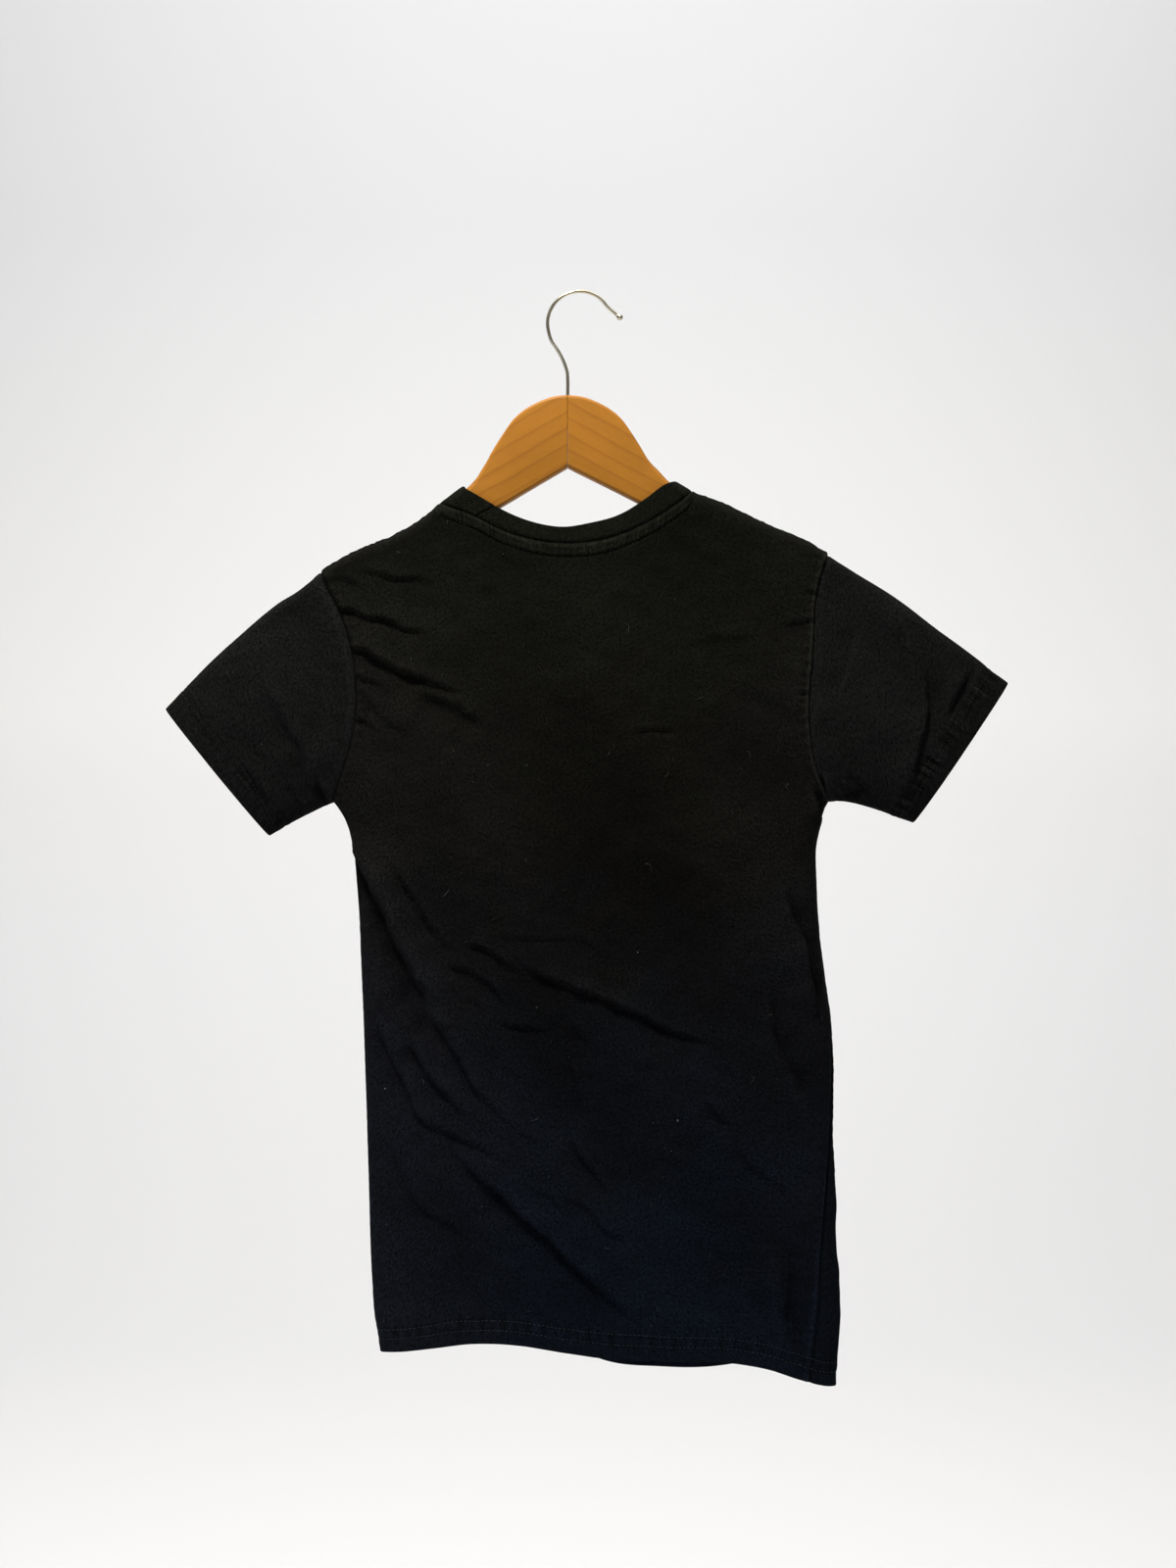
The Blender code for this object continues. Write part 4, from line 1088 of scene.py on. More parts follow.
def sleeve_middle(side, panels):
    """A sleeve as rings of points, from the armhole seam to the cuff."""
    name = SIDE_NAME[side]
    column = 0 if side == LEFT else -1
    rows = slice(0, ARMPIT_ROW + 1)
    parts, seams, faces = [], [], []
    for face in (BACK, FRONT):
        arc = edge(side, face)[1][rows]
        parts.append(arc / arc[-1])
        seams.append(panels[face].points[rows, column])
        faces.append(np.full(len(arc), float(face)))
    part, seam, face = joined_loop(*parts), joined_loop(*seams), joined_loop(*faces)
    over = abs(part)[None, :, None]
    length = sleeve_lengths()
    top, under = (silhouette(line, name, side, length) for line in (SLEEVE_TOP, SLEEVE_UNDER))
    along = length[:, None, None]
    cuff = (1 - over) * top[-1:] + over * under[-1:]
    flat = (1 - along) * seam[None, :, [0, 2]] + along * cuff
    flat = flat + (1 - over) * (top - (1 - along) * top[:1] - along * top[-1:])
    flat = flat + over * (under - (1 - along) * under[:1] - along * under[-1:])
    along = along[..., 0]
    round_off = np.sqrt(4 * abs(part) * (1 - abs(part)))
    cuff_y = face * np.sign(part) * CUFF_HALF_DEPTH * round_off
    swell = face * SLEEVE_SWELL * round_off
    depth = (1 - along) * seam[:, 1] + along * cuff_y + np.sin(pi * along) * swell
    return np.stack([flat[..., 0], depth, flat[..., 1]], axis=-1)


def sleeve_distances(points):
    """How far each place on a sleeve lies from its edges, its underarm seam and its upper fold."""
    armhole, cuff = run_lengths(points, 0)
    way = run_lengths(points, 1)[0]
    underarm = abs(way - way[:, [ARMPIT_ROW]])
    fold = np.minimum(way, way[:, [-1]] - way)
    return {"armhole": armhole, "cuff": cuff, "way": way, "underarm": underarm, "fold": fold}


def sleeve_folds(side, points, away, strength):
    """The creases and the slow unevenness of a sleeve, held flat at its seams."""
    x, y, z = np.moveaxis(points, -1, 0)
    held = eased(away["armhole"], 2.5) * eased(away["underarm"], 3, 0.1) * eased(away["fold"], 8, 0.1)
    calm = eased(away["armhole"], 9) * eased(away["cuff"], 30, 0.3)
    calm *= eased(away["underarm"], 8, 0.1) * eased(away["fold"], 12, 0.1)
    height = held * crease_height(x, z, SLEEVE_CREASES, strength)
    height += calm * unevenness(x + 2 * y, z, 31 + side, 1.0 * strength, 30, 110)
    height += calm * unevenness(x, z + 2 * y, 41 + side, 0.26 * strength, 12, 36)
    return height


def sleeve_sewing(side, points, away):
    """The ridge of the seam allowance at the armhole, the underarm seam, and the gathered, stitched cuff."""
    from_armhole, from_cuff, way = away["armhole"], away["cuff"], away["way"]
    fine = -0.6 * bump(from_armhole, 0, 0.8)
    fine += ALLOWANCE_RIDGE[side] * step_down(from_armhole, SEAM_ALLOWANCE, 0.9) * eased(from_armhole, 1.4)
    fine -= 0.3 * bump(away["underarm"], 0, 1.4) * eased(from_armhole, 6)
    fine += 0.12 * np.sin(0.9 * way + 1.3 * np.sin(0.13 * way)) * bump(from_armhole, 6, 4)
    gathers = np.random.default_rng(61 + side).normal(0, 1, points.shape[1])
    fine += CUFF_GATHERS[side] * gathers * bump(from_cuff, 14, 6.5)
    fine += 0.1 * np.sin(0.72 * way) * bump(from_cuff, 12, 7)
    for line in CUFF_STITCHES:
        fine -= STITCH_GROOVE * bump(from_cuff, line, STITCH_GROOVE_REACH)
    return fine


def sleeve(side, panels, strength, walls):
    """A sleeve with its creases, seams and turned and stitched cuff."""
    points = sleeve_middle(side, panels)
    away = sleeve_distances(points)
    height = sleeve_folds(side, points, away, strength)
    fine = sleeve_sewing(side, points, away)
    shaded = -CUFF_SHADE[side] * step_down(away["cuff"], CUFF_WIDTH, 0.5)
    cloth = Cloth(points, True, side)
    return finish_cloth(cloth, height, fine, shaded, away["cuff"], *SLEEVE_CUFF, walls)


def neckband(panels, necks, rib):
    """The doubled rib band as rings of points, from its seam to its folded free edge."""
    low, high = [], []
    for face in (BACK, FRONT):
        x, arc = NECK[face]
        part = (x - NECK_LEFT) / (NECK_RIGHT - NECK_LEFT)
        top_x = BAND_LEFT + (BAND_RIGHT - BAND_LEFT) * part
        top_arc = arc_of(fold_height(top_x) - band_height(top_x, face))
        if face == FRONT:
            top_arc = np.minimum(arc, top_arc)
        half = half_depth(face)[0] - BAND_LEAN * (1 - np.abs(2 * part - 1) ** 3)
        low.append(panels[face].points[0, necks[face]])
        high.append(drape(top_x, top_arc, half, face))
    low, high = (closed_line(joined_loop(*sides)) for sides in (low, high))
    along = lengths_along(low)
    pitches = int(round(along[-1] / RIB_PITCH))
    stops = np.linspace(0, along[-1], 4 * pitches + 1)[:-1]
    low, high = (places_along(stops, along, line) for line in (low, high))
    across = BAND_RINGS[:, None, None]
    cloth = Cloth(low + (high - low) * across, True, 1)
    from_seam, from_edge = run_lengths(cloth.points, 0)
    wales = np.cos(2 * pi * pitches * stops / along[-1])[None, :]
    height = 0.1 * wales * np.clip(from_edge / 1.5, 0, 1) * np.clip(from_seam / 1.5, 0, 1)
    height += 1.25 * np.sin(pi * np.clip(from_seam / 4, 0, 0.5)) - 0.8
    height += 0.22 * np.sin(2 * pi * stops / 61 + 1)[None, :] * np.sin(pi * across[..., 0])
    height -= 1.0 * bump(stops, BAND_JOIN, 1.0)[None, :]
    height += 0.6 * bump(stops, BAND_JOIN - 3.0, 2.0)[None, :]
    # Painted light and shade of the rib: paler where it rises, darker where it sinks and at its seam.
    cloth.rubbed_and_painted_light = np.clip(0.5 * height, -0.6, 0.3) - 0.5 * bump(from_seam, 0, 0.9)
    cloth.raise_by(height)
    cloth.wall = rounded_edge(from_edge, rib)
    return cloth


def grid_line(cloth, row):
    """Points and normals on the outside of a cloth, along one of its rows."""
    points, normals = cloth.outer()[row], cloth.normals[row]
    return (closed_line(points), closed_line(normals)) if cloth.closed else (points, normals)


def row_at(cloth, distance):
    """The row that lies this far up from a cloth's lower hem or cuff."""
    return int(np.argmin(abs(run_lengths(cloth.points, 0)[1].mean(axis=1) - distance)))


# A stitch along its length: the thread's thickness and how far it lifts, as shares of its radius.
STITCH_PROFILE = table(
    "along radius lift",
    (-0.5, 0.25, -0.5),
    (-0.3, 0.95, 0.45),
    (0.3, 0.95, 0.45),
    (0.5, 0.25, -0.5),
)
STITCH_SIDES = 6
THREAD_RADIUS = 0.24
STITCH_SHARE = 0.74


def tube_faces(rings, sides, first=0):
    """Faces of a closed tube of rings, with a flat cap at each end."""
    last = first + (rings - 1) * sides
    faces = [tuple(range(first, first + sides))[::-1], tuple(range(last, last + sides))]
    for low in range(first, last, sides):
        for k in range(sides):
            after = (k + 1) % sides
            faces.append((low + k, low + after, low + sides + after, low + sides + k))
    return faces


def ring_points(centre, radius, right, up, sides):
    """A ring of corners round a centre, in the plane of two directions."""
    turn = 2 * pi * np.arange(sides) / sides
    return centre + radius * (np.outer(np.cos(turn), right) + np.outer(np.sin(turn), up))


def stitch_mesh(lines, pitch, radius, seed):
    """Corners and faces of a run of stitches along each line of points and normals."""
    chance = np.random.default_rng(seed)
    rings = len(STITCH_PROFILE["along"])
    verts, faces = [], []
    for points, normals in lines:
        along = lengths_along(points)
        even = np.arange(pitch / 2, along[-1], pitch)
        middles = even + chance.normal(0, 0.05 * pitch, len(even) + 2)[:-2]
        place = places_along(middles, along, points)
        forward = places_along(middles + 0.6, along, points) - places_along(middles - 0.6, along, points)
        forward /= np.linalg.norm(forward, axis=-1, keepdims=True) + 1e-9
        up = places_along(middles, along, normals)
        up -= forward * np.sum(up * forward, axis=-1, keepdims=True)
        up /= np.linalg.norm(up, axis=-1, keepdims=True) + 1e-9
        across = np.cross(forward, up)
        length = pitch * STITCH_SHARE * (1 + chance.normal(0, 0.06, len(place)))
        for n in range(len(place)):
            faces += tube_faces(rings, STITCH_SIDES, len(verts) * STITCH_SIDES)
            for a, r, lift in zip(*STITCH_PROFILE.values()):
                centre = place[n] + forward[n] * a * length[n] + up[n] * lift * radius
                verts.append(ring_points(centre, radius * r, across[n], up[n], STITCH_SIDES))
    return np.concatenate(verts) * MM, faces


FIBRE_SIDES, FIBRE_RINGS = 4, 9
SPECK_SIDES, SPECK_RINGS = 7, 4


def on_cloth(cloth, i, j):
    """A place on the outside of a cloth, with two directions along it and its normal."""
    outer = cloth.outer()
    after = (j + 1) % outer.shape[1]
    place = outer[i, j]
    right = outer[i, after] - place
    right /= np.linalg.norm(right) + 1e-9
    normal = cloth.normals[i, j]
    return place, right, np.cross(normal, right), normal


def nearest_place(cloth, x, z):
    """The grid place whose outside shows at this x and z."""
    away = np.hypot(cloth.points[..., 0] - x, cloth.points[..., 2] - z)
    return np.unravel_index(int(np.argmin(away)), away.shape)


def add_fibre(verts, faces, place, right, ahead, normal, length, curl, heading, radius):
    """A curled fibre lying on the cloth, thin at its ends."""
    t = np.linspace(0, 1, FIBRE_RINGS)
    bearing = heading + curl * (t - 0.5) * 2 + 0.5 * curl * np.sin(5 * t + heading)
    step = length / (FIBRE_RINGS - 1)
    u = np.cumsum(np.cos(bearing)) * step
    v = np.cumsum(np.sin(bearing)) * step
    lift = radius + 0.35 * np.sin(pi * t) ** 2
    line = place + np.outer(u - u.mean(), right) + np.outer(v - v.mean(), ahead) + np.outer(lift, normal)
    faces += tube_faces(FIBRE_RINGS, FIBRE_SIDES, sum(len(ring) for ring in verts))
    for k, centre in enumerate(line):
        side = np.cos(bearing[k]) * ahead - np.sin(bearing[k]) * right
        thickness = radius * (0.35 + 0.65 * np.sin(pi * t[k]))
        verts.append(ring_points(centre, thickness, side, normal, FIBRE_SIDES))


def add_speck(verts, faces, place, right, ahead, normal, radius):
    """A small round speck of fluff."""
    faces += turned_over(tube_faces(SPECK_RINGS, SPECK_SIDES, sum(len(ring) for ring in verts)))
    for tilt in pi * (0.12 + 0.76 * np.arange(SPECK_RINGS) / (SPECK_RINGS - 1)):
        centre = place + normal * radius * (0.5 + 0.8 * np.cos(tilt))
        verts.append(ring_points(centre, radius * np.sin(tilt), right, ahead, SPECK_SIDES))


# Lint that shows most on the back: a fibre has a length and a curl, a speck only its radius.
BACK_FIBRES = table(
    "x z length curl heading radius",
    (-61, -445, 7, 1.4, 0.6, 0.16),
    (108, -404, 6, 0.9, 0.1, 0.16),
    (120, -560, 9, 1.6, 2.0, 0.17),
    (33, -240, 8, 1.2, 1.5, 0.16),
    (20, -330, 5, 2.4, 0.3, 0.17),
    (48, -410, 9, 0.8, 2.5, 0.15),
    (118, -330, 8, 0.9, 2.3, 0.15),
    (-96, -428, 8, 1.1, 0.2, 0.15),
    (-32, -586, 7, 2.2, 0.9, 0.16),
    (-14, -602, 5, 1.8, 2.2, 0.15),
    (60, -345, 6, 1.4, 1.2, 0.15),
    (84, -290, 7, 1.0, 0.4, 0.15),
)
BACK_SPECKS = table(
    "x z radius",
    (68, -588, 0.95),
    (-31, -508, 0.7),
    (-139, -566, 0.7),
    (-55, -187, 0.8),
    (-76, -350, 0.55),
    (-24, -390, 0.55),
    (40, -470, 0.5),
    (20, -300, 0.5),
)


def hanger_top(x):
    """The upper edge of the hanger: its round hump, then just under the shoulders of the garment."""
    out = abs(x - HANGER_X)
    hump = HUMP_TOP - smooth(out, HUMP["out"], HUMP["drop"])
    past_rib = np.clip((out - 84) / 14, 0, 1)
    under_cloth = fold_height(x) - ARM_UNDER_RIB + (ARM_UNDER_RIB - ARM_UNDER_CLOTH) * past_rib
    blend = np.clip((out - 55) / 9, 0, 1)
    return hump * (1 - blend) + under_cloth * blend


def arm_section(x, side, tip, thickness, easing):
    """A slice across an arm: a flat board with rounded edges, drawn in towards the tip."""
    top = hanger_top(x) - easing
    low = smooth(abs(x - HANGER_X), ARM_UNDERSIDE["out"], ARM_UNDERSIDE[SIDE_NAME[side] + "_z"]) + easing
    closing = np.sqrt(1 - np.clip(1 - abs(tip - x) / TIP_LENGTH, 0, 1) ** 2)
    low = top + (low - top) * (0.3 + 0.7 * closing)
    half = thickness / 2 * (0.4 + 0.6 * closing) - easing
    covered = np.clip((abs(x - HANGER_X) - 40) / 20, 0, 1)
    top_radius = min(ARM_EDGE_RADIUS + (ARM_TOP_RADIUS - ARM_EDGE_RADIUS) * covered, half - 0.3)
    low_radius = min(ARM_EDGE_RADIUS, half - 0.3)
    ring = []
    for face, up, quarter in ((1, 1, 0), (-1, 1, 1), (-1, -1, 2), (1, -1, 3)):
        radius = top_radius if up > 0 else low_radius
        centre_y = face * (half - radius)
        centre_z = (top - radius) if up > 0 else (low + radius)
        for step in range(CORNER_STEPS + 1):
            turn = pi / 2 * (quarter + step / CORNER_STEPS)
            ring.append((x, centre_y + radius * np.cos(turn), centre_z + radius * np.sin(turn)))
    return ring


def hanger_arm(side, thickness):
    """Rings and faces of one half of the mitred pair, its edges eased at the joint."""
    tip = TIP_LEFT if side == LEFT else TIP_RIGHT
    start = HANGER_X + side * JOINT_GAP / 2
    reach = abs(tip - HANGER_X) - TIP_LENGTH
    joint = np.array([0, 0.12, 0.3])
    out = np.concatenate([joint, np.linspace(1.0, 66, 60), np.linspace(68, reach, 44)])
    round_end = reach + TIP_LENGTH * np.sin(np.linspace(0, pi / 2, 12)[1:])
    stations = np.concatenate([out, round_end])
    easing = np.concatenate([[0.3, 0.12, 0.0], np.zeros(len(stations) - 3)])
    rings = []
    for along, ease in zip(stations, easing):
        rings.append(arm_section(start + side * along, side, tip, thickness, ease))
    faces = tube_faces(len(rings), len(rings[0]))
    return np.concatenate(rings), faces if side == RIGHT else turned_over(faces)


def hook_path(radius):
    """The wire's middle line: up the shank, round the hook and out to the ball."""
    shank = [(HANGER_X, HUMP_TOP - SHANK_DEPTH), (HANGER_X, HUMP_TOP), (HANGER_X, -62.0), (-9.9, -57.0)]
    neck = list(zip(HOOK_NECK["x"], HOOK_NECK["z"]))
    bow = [
        (HOOK_CENTRE_X + HOOK_RADIUS * np.cos(a), radius - HOOK_RADIUS + HOOK_RADIUS * np.sin(a))
        for a in np.radians(np.linspace(196, 33, 15))
    ]
    flick = list(zip(HOOK_FLICK["x"], HOOK_FLICK["z"]))
    points = np.array(shank + neck + bow + flick)
    along = lengths_along(points)
    stops = np.linspace(0, along[-1], 150)
    return np.stack([smooth(stops, along, points[:, 0]), smooth(stops, along, points[:, 1])], axis=-1)


def hook_mesh(radius):
    """Corners and faces of the wire and its ball end, as one turned skin."""
    path = hook_path(radius)
    forward = (path[-1] - path[-2]) / np.linalg.norm(path[-1] - path[-2])
    turn = np.radians(np.linspace(BALL_NECK, 176, 16))
    ball = BALL_RADIUS * (np.cos(np.radians(BALL_NECK)) - np.cos(turn))
    radii = [*[radius] * len(path), *(BALL_RADIUS * np.sin(turn))]
    path = np.vstack([path, path[-1] + np.outer(ball, forward)])
    rings = []
    for i, (x, z) in enumerate(path):
        ahead = path[min(i + 1, len(path) - 1)] - path[max(i - 1, 0)]
        ahead = ahead / np.linalg.norm(ahead)
        rings.append(ring_points((x, 0, z), radii[i], (ahead[1], 0, -ahead[0]), (0, 1, 0), WIRE_SIDES))
    return np.concatenate(rings), tube_faces(len(path), WIRE_SIDES)


TIMES = {"operation": "MULTIPLY"}
TIMES_PLUS = {"operation": "MULTIPLY_ADD"}
PLUS = {"operation": "ADD"}
PLUS_HELD = {"operation": "ADD", "use_clamp": True}
LARGER = {"operation": "MAXIMUM"}
TO_AND_FRO = {"operation": "PINGPONG"}
SCALED = {"operation": "SCALE"}


def set_inputs(tree, made, **links):
    """Sets or links a node's inputs by name or number. A node given as a value is its first output."""
    for name, value in links.items():
        key = int(name[1:]) if name[0] == "n" and name[1:].isdigit() else name.replace("_", " ")
        if isinstance(value, bpy.types.Node):
            value = value.outputs[0]
        if isinstance(value, bpy.types.NodeSocket):
            tree.links.new(value, made.inputs[key])
        else:
            made.inputs[key].default_value = value


def set_stops(ramp, stops):
    """Gives a ramp these places and RGB colours."""
    while len(ramp.elements) < len(stops):
        ramp.elements.new(0.5)
    for element, (place, colour) in zip(ramp.elements, stops):
        element.position = place
        element.color = (*colour, 1.0)


def node(tree, kind, settings=None, **links):
    """Adds a node with its own settings and its inputs; the setting stops is for a ramp's colours."""
    made = tree.nodes.new("ShaderNode" + kind)
    for name, value in (settings or {}).items():
        if name == "stops":
            set_stops(made.color_ramp, value)
        else:
            setattr(made, name, value)
    set_inputs(tree, made, **links)
    return made


def new_material(name, **values):
    """A Principled material with these constant values on its sockets."""
    made = bpy.data.materials.new(name)
    made.use_nodes = True
    shader = made.node_tree.nodes["Principled BSDF"]
    set_inputs(made.node_tree, shader, **values)
    return made, made.node_tree, shader


def shade(colour, factor):
    """The colour made paler or darker."""
    return tuple(min(v * factor, 1.0) for v in colour)


def mixed(first, second, share):
    """The first colour with this share of the second."""
    return tuple(a + (b - a) * share for a, b in zip(first, second))


def knit(tree, wale, course):
    """Rows of V-shaped stitches on the cut: their height, the grooves between wales, and the place on the
    cut. Wale and course are their pitches in millimetres."""
    place = node(tree, "UVMap", {"uv_map": "Cut"})
    parts = node(tree, "SeparateXYZ", Vector=place)
    wander = node(tree, "TexNoise", {"noise_dimensions": "2D"}, Vector=place, Scale=0.22, Detail=1.0)
    shift = node(tree, "Math", TIMES, n0=wander, n1=1.6)
    across = node(tree, "Math", TIMES_PLUS, n0=parts, n1=1 / wale, n2=shift)
    down = node(tree, "Math", TIMES, n0=parts.outputs[1], n1=1 / course)
    slant = node(tree, "Math", TO_AND_FRO, n0=across, n1=0.5)
    legs = node(tree, "Math", PLUS, n0=down, n1=slant)
    loops = node(tree, "Math", TO_AND_FRO, n0=legs, n1=0.5)
    grooves = node(tree, "Math", TO_AND_FRO, n0=across, n1=0.25)
    stitches = node(tree, "Math", TIMES_PLUS, n0=grooves, n1=2.0, n2=loops)
    return stitches, grooves, place


def dye_with_painted_light(tree, cut, high, middle, low, sides, low_sides):
    """The dye of a piece, with painted light: three blacks down its middle, drifting like clouds, painted
    warmer towards the top and cooler towards the hem, and two paler blacks down its sides, painted light on
    the left and the upper right.
    """
    body = node(tree, "NewGeometry")
    place = node(tree, "SeparateXYZ", Vector=body.outputs["Position"])
    x, z = place.outputs[0], place.outputs[2]
    level = node(tree, "MapRange", n0=z, n1=-0.74, n2=-0.2, n3=0.0, n4=1.0)
    clouds = node(tree, "TexNoise", Vector=cut, Scale=CLOUDS, Detail=4.0, Roughness=0.6)
    drift = node(tree, "Math", TIMES_PLUS, n0=clouds, n1=0.5, n2=-0.25)
    blend = node(tree, "Math", PLUS_HELD, n0=level, n1=drift)
    # Painted light: warmer black at the top, cooler black towards the hem.
    middle_stops = (0.05, low), (0.28, mixed(low, middle, 0.42)), (0.6, middle), (0.94, high)
    side_stops = (0.35, low_sides), (0.65, sides)
    middle_dye_painted_warm_and_cool = node(tree, "ValToRGB", {"stops": middle_stops}, Fac=blend)
    side_dye_painted_paler = node(tree, "ValToRGB", {"stops": side_stops}, Fac=level)
    # Painted light: paler black down the left side and the upper right.
    left = node(tree, "MapRange", n0=x, n1=-0.025, n2=-0.15, n3=0.0, n4=1.0)
    right = node(tree, "MapRange", n0=x, n1=0.07, n2=0.155, n3=0.0, n4=0.85)
    above_waist = node(tree, "MapRange", n0=z, n1=-0.58, n2=-0.44, n3=0.1, n4=1.0)
    below_yoke = node(tree, "MapRange", n0=z, n1=-0.21, n2=-0.33, n3=0.25, n4=0.9)
    upper_right = node(tree, "Math", TIMES, n0=right, n1=above_waist)
    either_side = node(tree, "Math", LARGER, n0=left, n1=upper_right)
    share = node(tree, "Math", TIMES, n0=either_side, n1=below_yoke)
    return node(tree, "Mix", {"data_type": "RGBA"}, n0=share, n6=middle_dye_painted_warm_and_cool, n7=side_dye_painted_paler).outputs[2]


def wear_and_painted_relief_light(tree, cut, yarn, grooves):
    """How much paler or darker than its dye the cloth looks: by rubbed patches, yarn and knit, and by
    painted light and shade that follow the relief, paler on ridges and darker in grooves and creases.
    """
    rubbed_and_painted_light = node(tree, "TexNoise", Vector=cut, Scale=RUBBED_PATCHES, Detail=6.0, Roughness=0.7)
    faded_and_painted_paler = node(tree, "Math", TIMES_PLUS, n0=rubbed_and_painted_light, n1=0.7, n2=0.55)
    grit = node(tree, "Math", TIMES_PLUS, n0=yarn, n1=6.4, n2=-2.4)
    gritty = node(tree, "Math", TIMES, n0=faded_and_painted_paler, n1=grit)
    # Painted light and shade from the relief attribute: paler on ridges, darker in grooves and creases.
    relief = node(tree, "Attribute", {"attribute_name": "Rubbed"})
    raised = node(tree, "Math", TIMES_PLUS, n0=relief.outputs["Fac"], n1=0.85, n2=1.0)
    wear_and_painted_light = node(tree, "Math", TIMES, n0=gritty, n1=raised)
    lines = node(tree, "Math", TIMES_PLUS, n0=grooves, n1=1.6, n2=0.8)
    return node(tree, "Math", TIMES, n0=wear_and_painted_light, n1=lines)


# Wale and course of the cloths as drawn, in millimetres. A real wale of the jersey is 0.8 mm.
JERSEY_KNIT = (1.5, 1.3)
RIB_KNIT = (1.7, 1.4)

# Noise on the cut, in steps for each millimetre: clouds of 70 mm, rubbed patches of 20 mm, and yarn of
# 2 mm, which is coarser than real yarn so that it shows.
CLOUDS = 0.014
RUBBED_PATCHES = 1 / 20
YARN = 1 / 2


def jersey_material(name, dyes_and_painted_light, wale, course):
    """Washed cotton jersey or rib, dyed black: dull, with a short fuzz that lifts it at grazing light,
    cloudy wear where it has rubbed, and painted light and shade over its relief and seams. The knit is drawn
    nearly twice as coarse as it is, to show."""
    made, tree, shader = new_material(
        name, Roughness=0.95, IOR=1.45, Specular_IOR_Level=0.06, Sheen_Weight=0.01, Sheen_Roughness=0.4,
        Sheen_Tint=(*linear("#9a9a94"), 1.0),
    )
    stitches, grooves, cut = knit(tree, wale, course)
    yarn = node(tree, "TexNoise", Vector=cut, Scale=YARN, Detail=4.0, Roughness=0.9)
    # The dye, with painted warm, cool and side light over it.
    dye = dye_with_painted_light(tree, cut, *dyes_and_painted_light)
    colour = node(tree, "VectorMath", SCALED, n0=dye, Scale=wear_and_painted_relief_light(tree, cut, yarn, grooves))
    loops = node(tree, "Bump", Strength=0.5, Distance=0.00025, Height=stitches)
    fuzz = node(tree, "Bump", Strength=0.5, Distance=0.0006, Height=yarn, Normal=loops)
    set_inputs(tree, shader, Base_Color=colour, Normal=fuzz)
    return made


def thread_material(name, colour):
    """Spun polyester sewing thread, black: a little smoother than the cotton, so its twist glints."""
    made, tree, shader = new_material(name, Roughness=0.62, IOR=1.55, Specular_IOR_Level=0.1)
    place = node(tree, "TexCoord")
    twist = node(tree, "TexNoise", Vector=place.outputs["Object"], Scale=1800.0, Detail=2.0)
    stops = (0.3, shade(colour, 0.6)), (0.7, shade(colour, 1.5))
    tone = node(tree, "ValToRGB", {"stops": stops}, Fac=twist)
    set_inputs(tree, shader, Base_Color=tone)
    return made


def lint_material(colour):
    """Loose cotton and dust fibres, unevenly pale and quite matt, which catch the eye on black."""
    made, tree, shader = new_material("pale_cotton_lint", Roughness=0.9, IOR=1.5, Specular_IOR_Level=0.2)
    place = node(tree, "TexCoord")
    patch = node(tree, "TexNoise", Vector=place.outputs["Object"], Scale=70.0, Detail=1.0)
    stops = (0.4, shade(colour, 0.1)), (0.56, shade(colour, 0.3)), (0.72, colour)
    tone = node(tree, "ValToRGB", {"stops": stops}, Fac=patch)
    set_inputs(tree, shader, Base_Color=tone)
    return made


# Growth lines of the wood. A wave's bands are 0.314 apart before they are scaled, so the last number gives
# lines 10 mm apart; the other two draw out the bends and flecks along the arm and through its thickness.
# The lines are turned to run along the arm.
GRAIN_SCALE = (1 / 8, 1 / 60, 1 / 31.4)
GRAIN_TURN = 0.5
GRAIN_START = 0.0035
GRAIN_SIDE_SHIFT = 0.0015


def wood_material(name, side, pale, dark):
    """Steamed beech under clear honey varnish: fine growth lines about 10 mm apart along each arm, which
    meet as chevrons at the mitre, short pale ray flecks between them, and a soft gloss."""
    made, tree, shader = new_material(
        name, Roughness=0.55, IOR=1.5, Specular_IOR_Level=0.15, Coat_Weight=0.06, Coat_Roughness=0.3,
        Coat_IOR=1.5,
    )
    place = node(tree, "TexCoord")
    along = node(
        tree, "Mapping", {"vector_type": "TEXTURE"}, Vector=place.outputs["Object"],
        Location=(0.0, 0.0, GRAIN_START - side * GRAIN_SIDE_SHIFT),
        Rotation=(0.0, side * GRAIN_TURN, 0.0), Scale=GRAIN_SCALE,
    )
    bend = node(tree, "TexNoise", Vector=along, Scale=1.1, Detail=2.0)
    spread = node(tree, "VectorMath", SCALED, n0=bend.outputs["Color"], Scale=0.3)
    warped = node(tree, "VectorMath", PLUS, n0=along, n1=spread)
    rings = node(
        tree, "TexWave", {"wave_type": "BANDS", "bands_direction": "Z", "wave_profile": "SAW"},
        Vector=warped, Scale=1.0, Distortion=0.25, Detail=2.0, Detail_Scale=3.0,
    )
    darkness = (0.0, 0.15), (0.12, 0.0), (0.62, 0.1), (0.84, 0.25), (0.93, 0.75), (1.0, 0.2)
    stops = [(part, mixed(pale, dark, share)) for part, share in darkness]
    tone = node(tree, "ValToRGB", {"stops": stops}, Fac=rings.outputs[1])
    flecks = node(tree, "TexNoise", Vector=along, Scale=2.2, Detail=3.0, Roughness=0.6)
    pores = node(tree, "TexNoise", Vector=along, Scale=24.0, Detail=3.0, Roughness=0.7)
    patches = node(tree, "Math", TIMES_PLUS, n0=flecks, n1=0.36, n2=0.82)
    streaks = node(tree, "Math", TIMES_PLUS, n0=pores, n1=0.2, n2=0.9)
    shown = node(tree, "Math", TIMES, n0=patches, n1=streaks)
    colour = node(tree, "VectorMath", SCALED, n0=tone, Scale=shown)
    raised = node(tree, "Bump", Strength=0.1, Distance=0.0002, Height=pores)
    set_inputs(tree, shader, Base_Color=colour, Normal=raised)
    return made


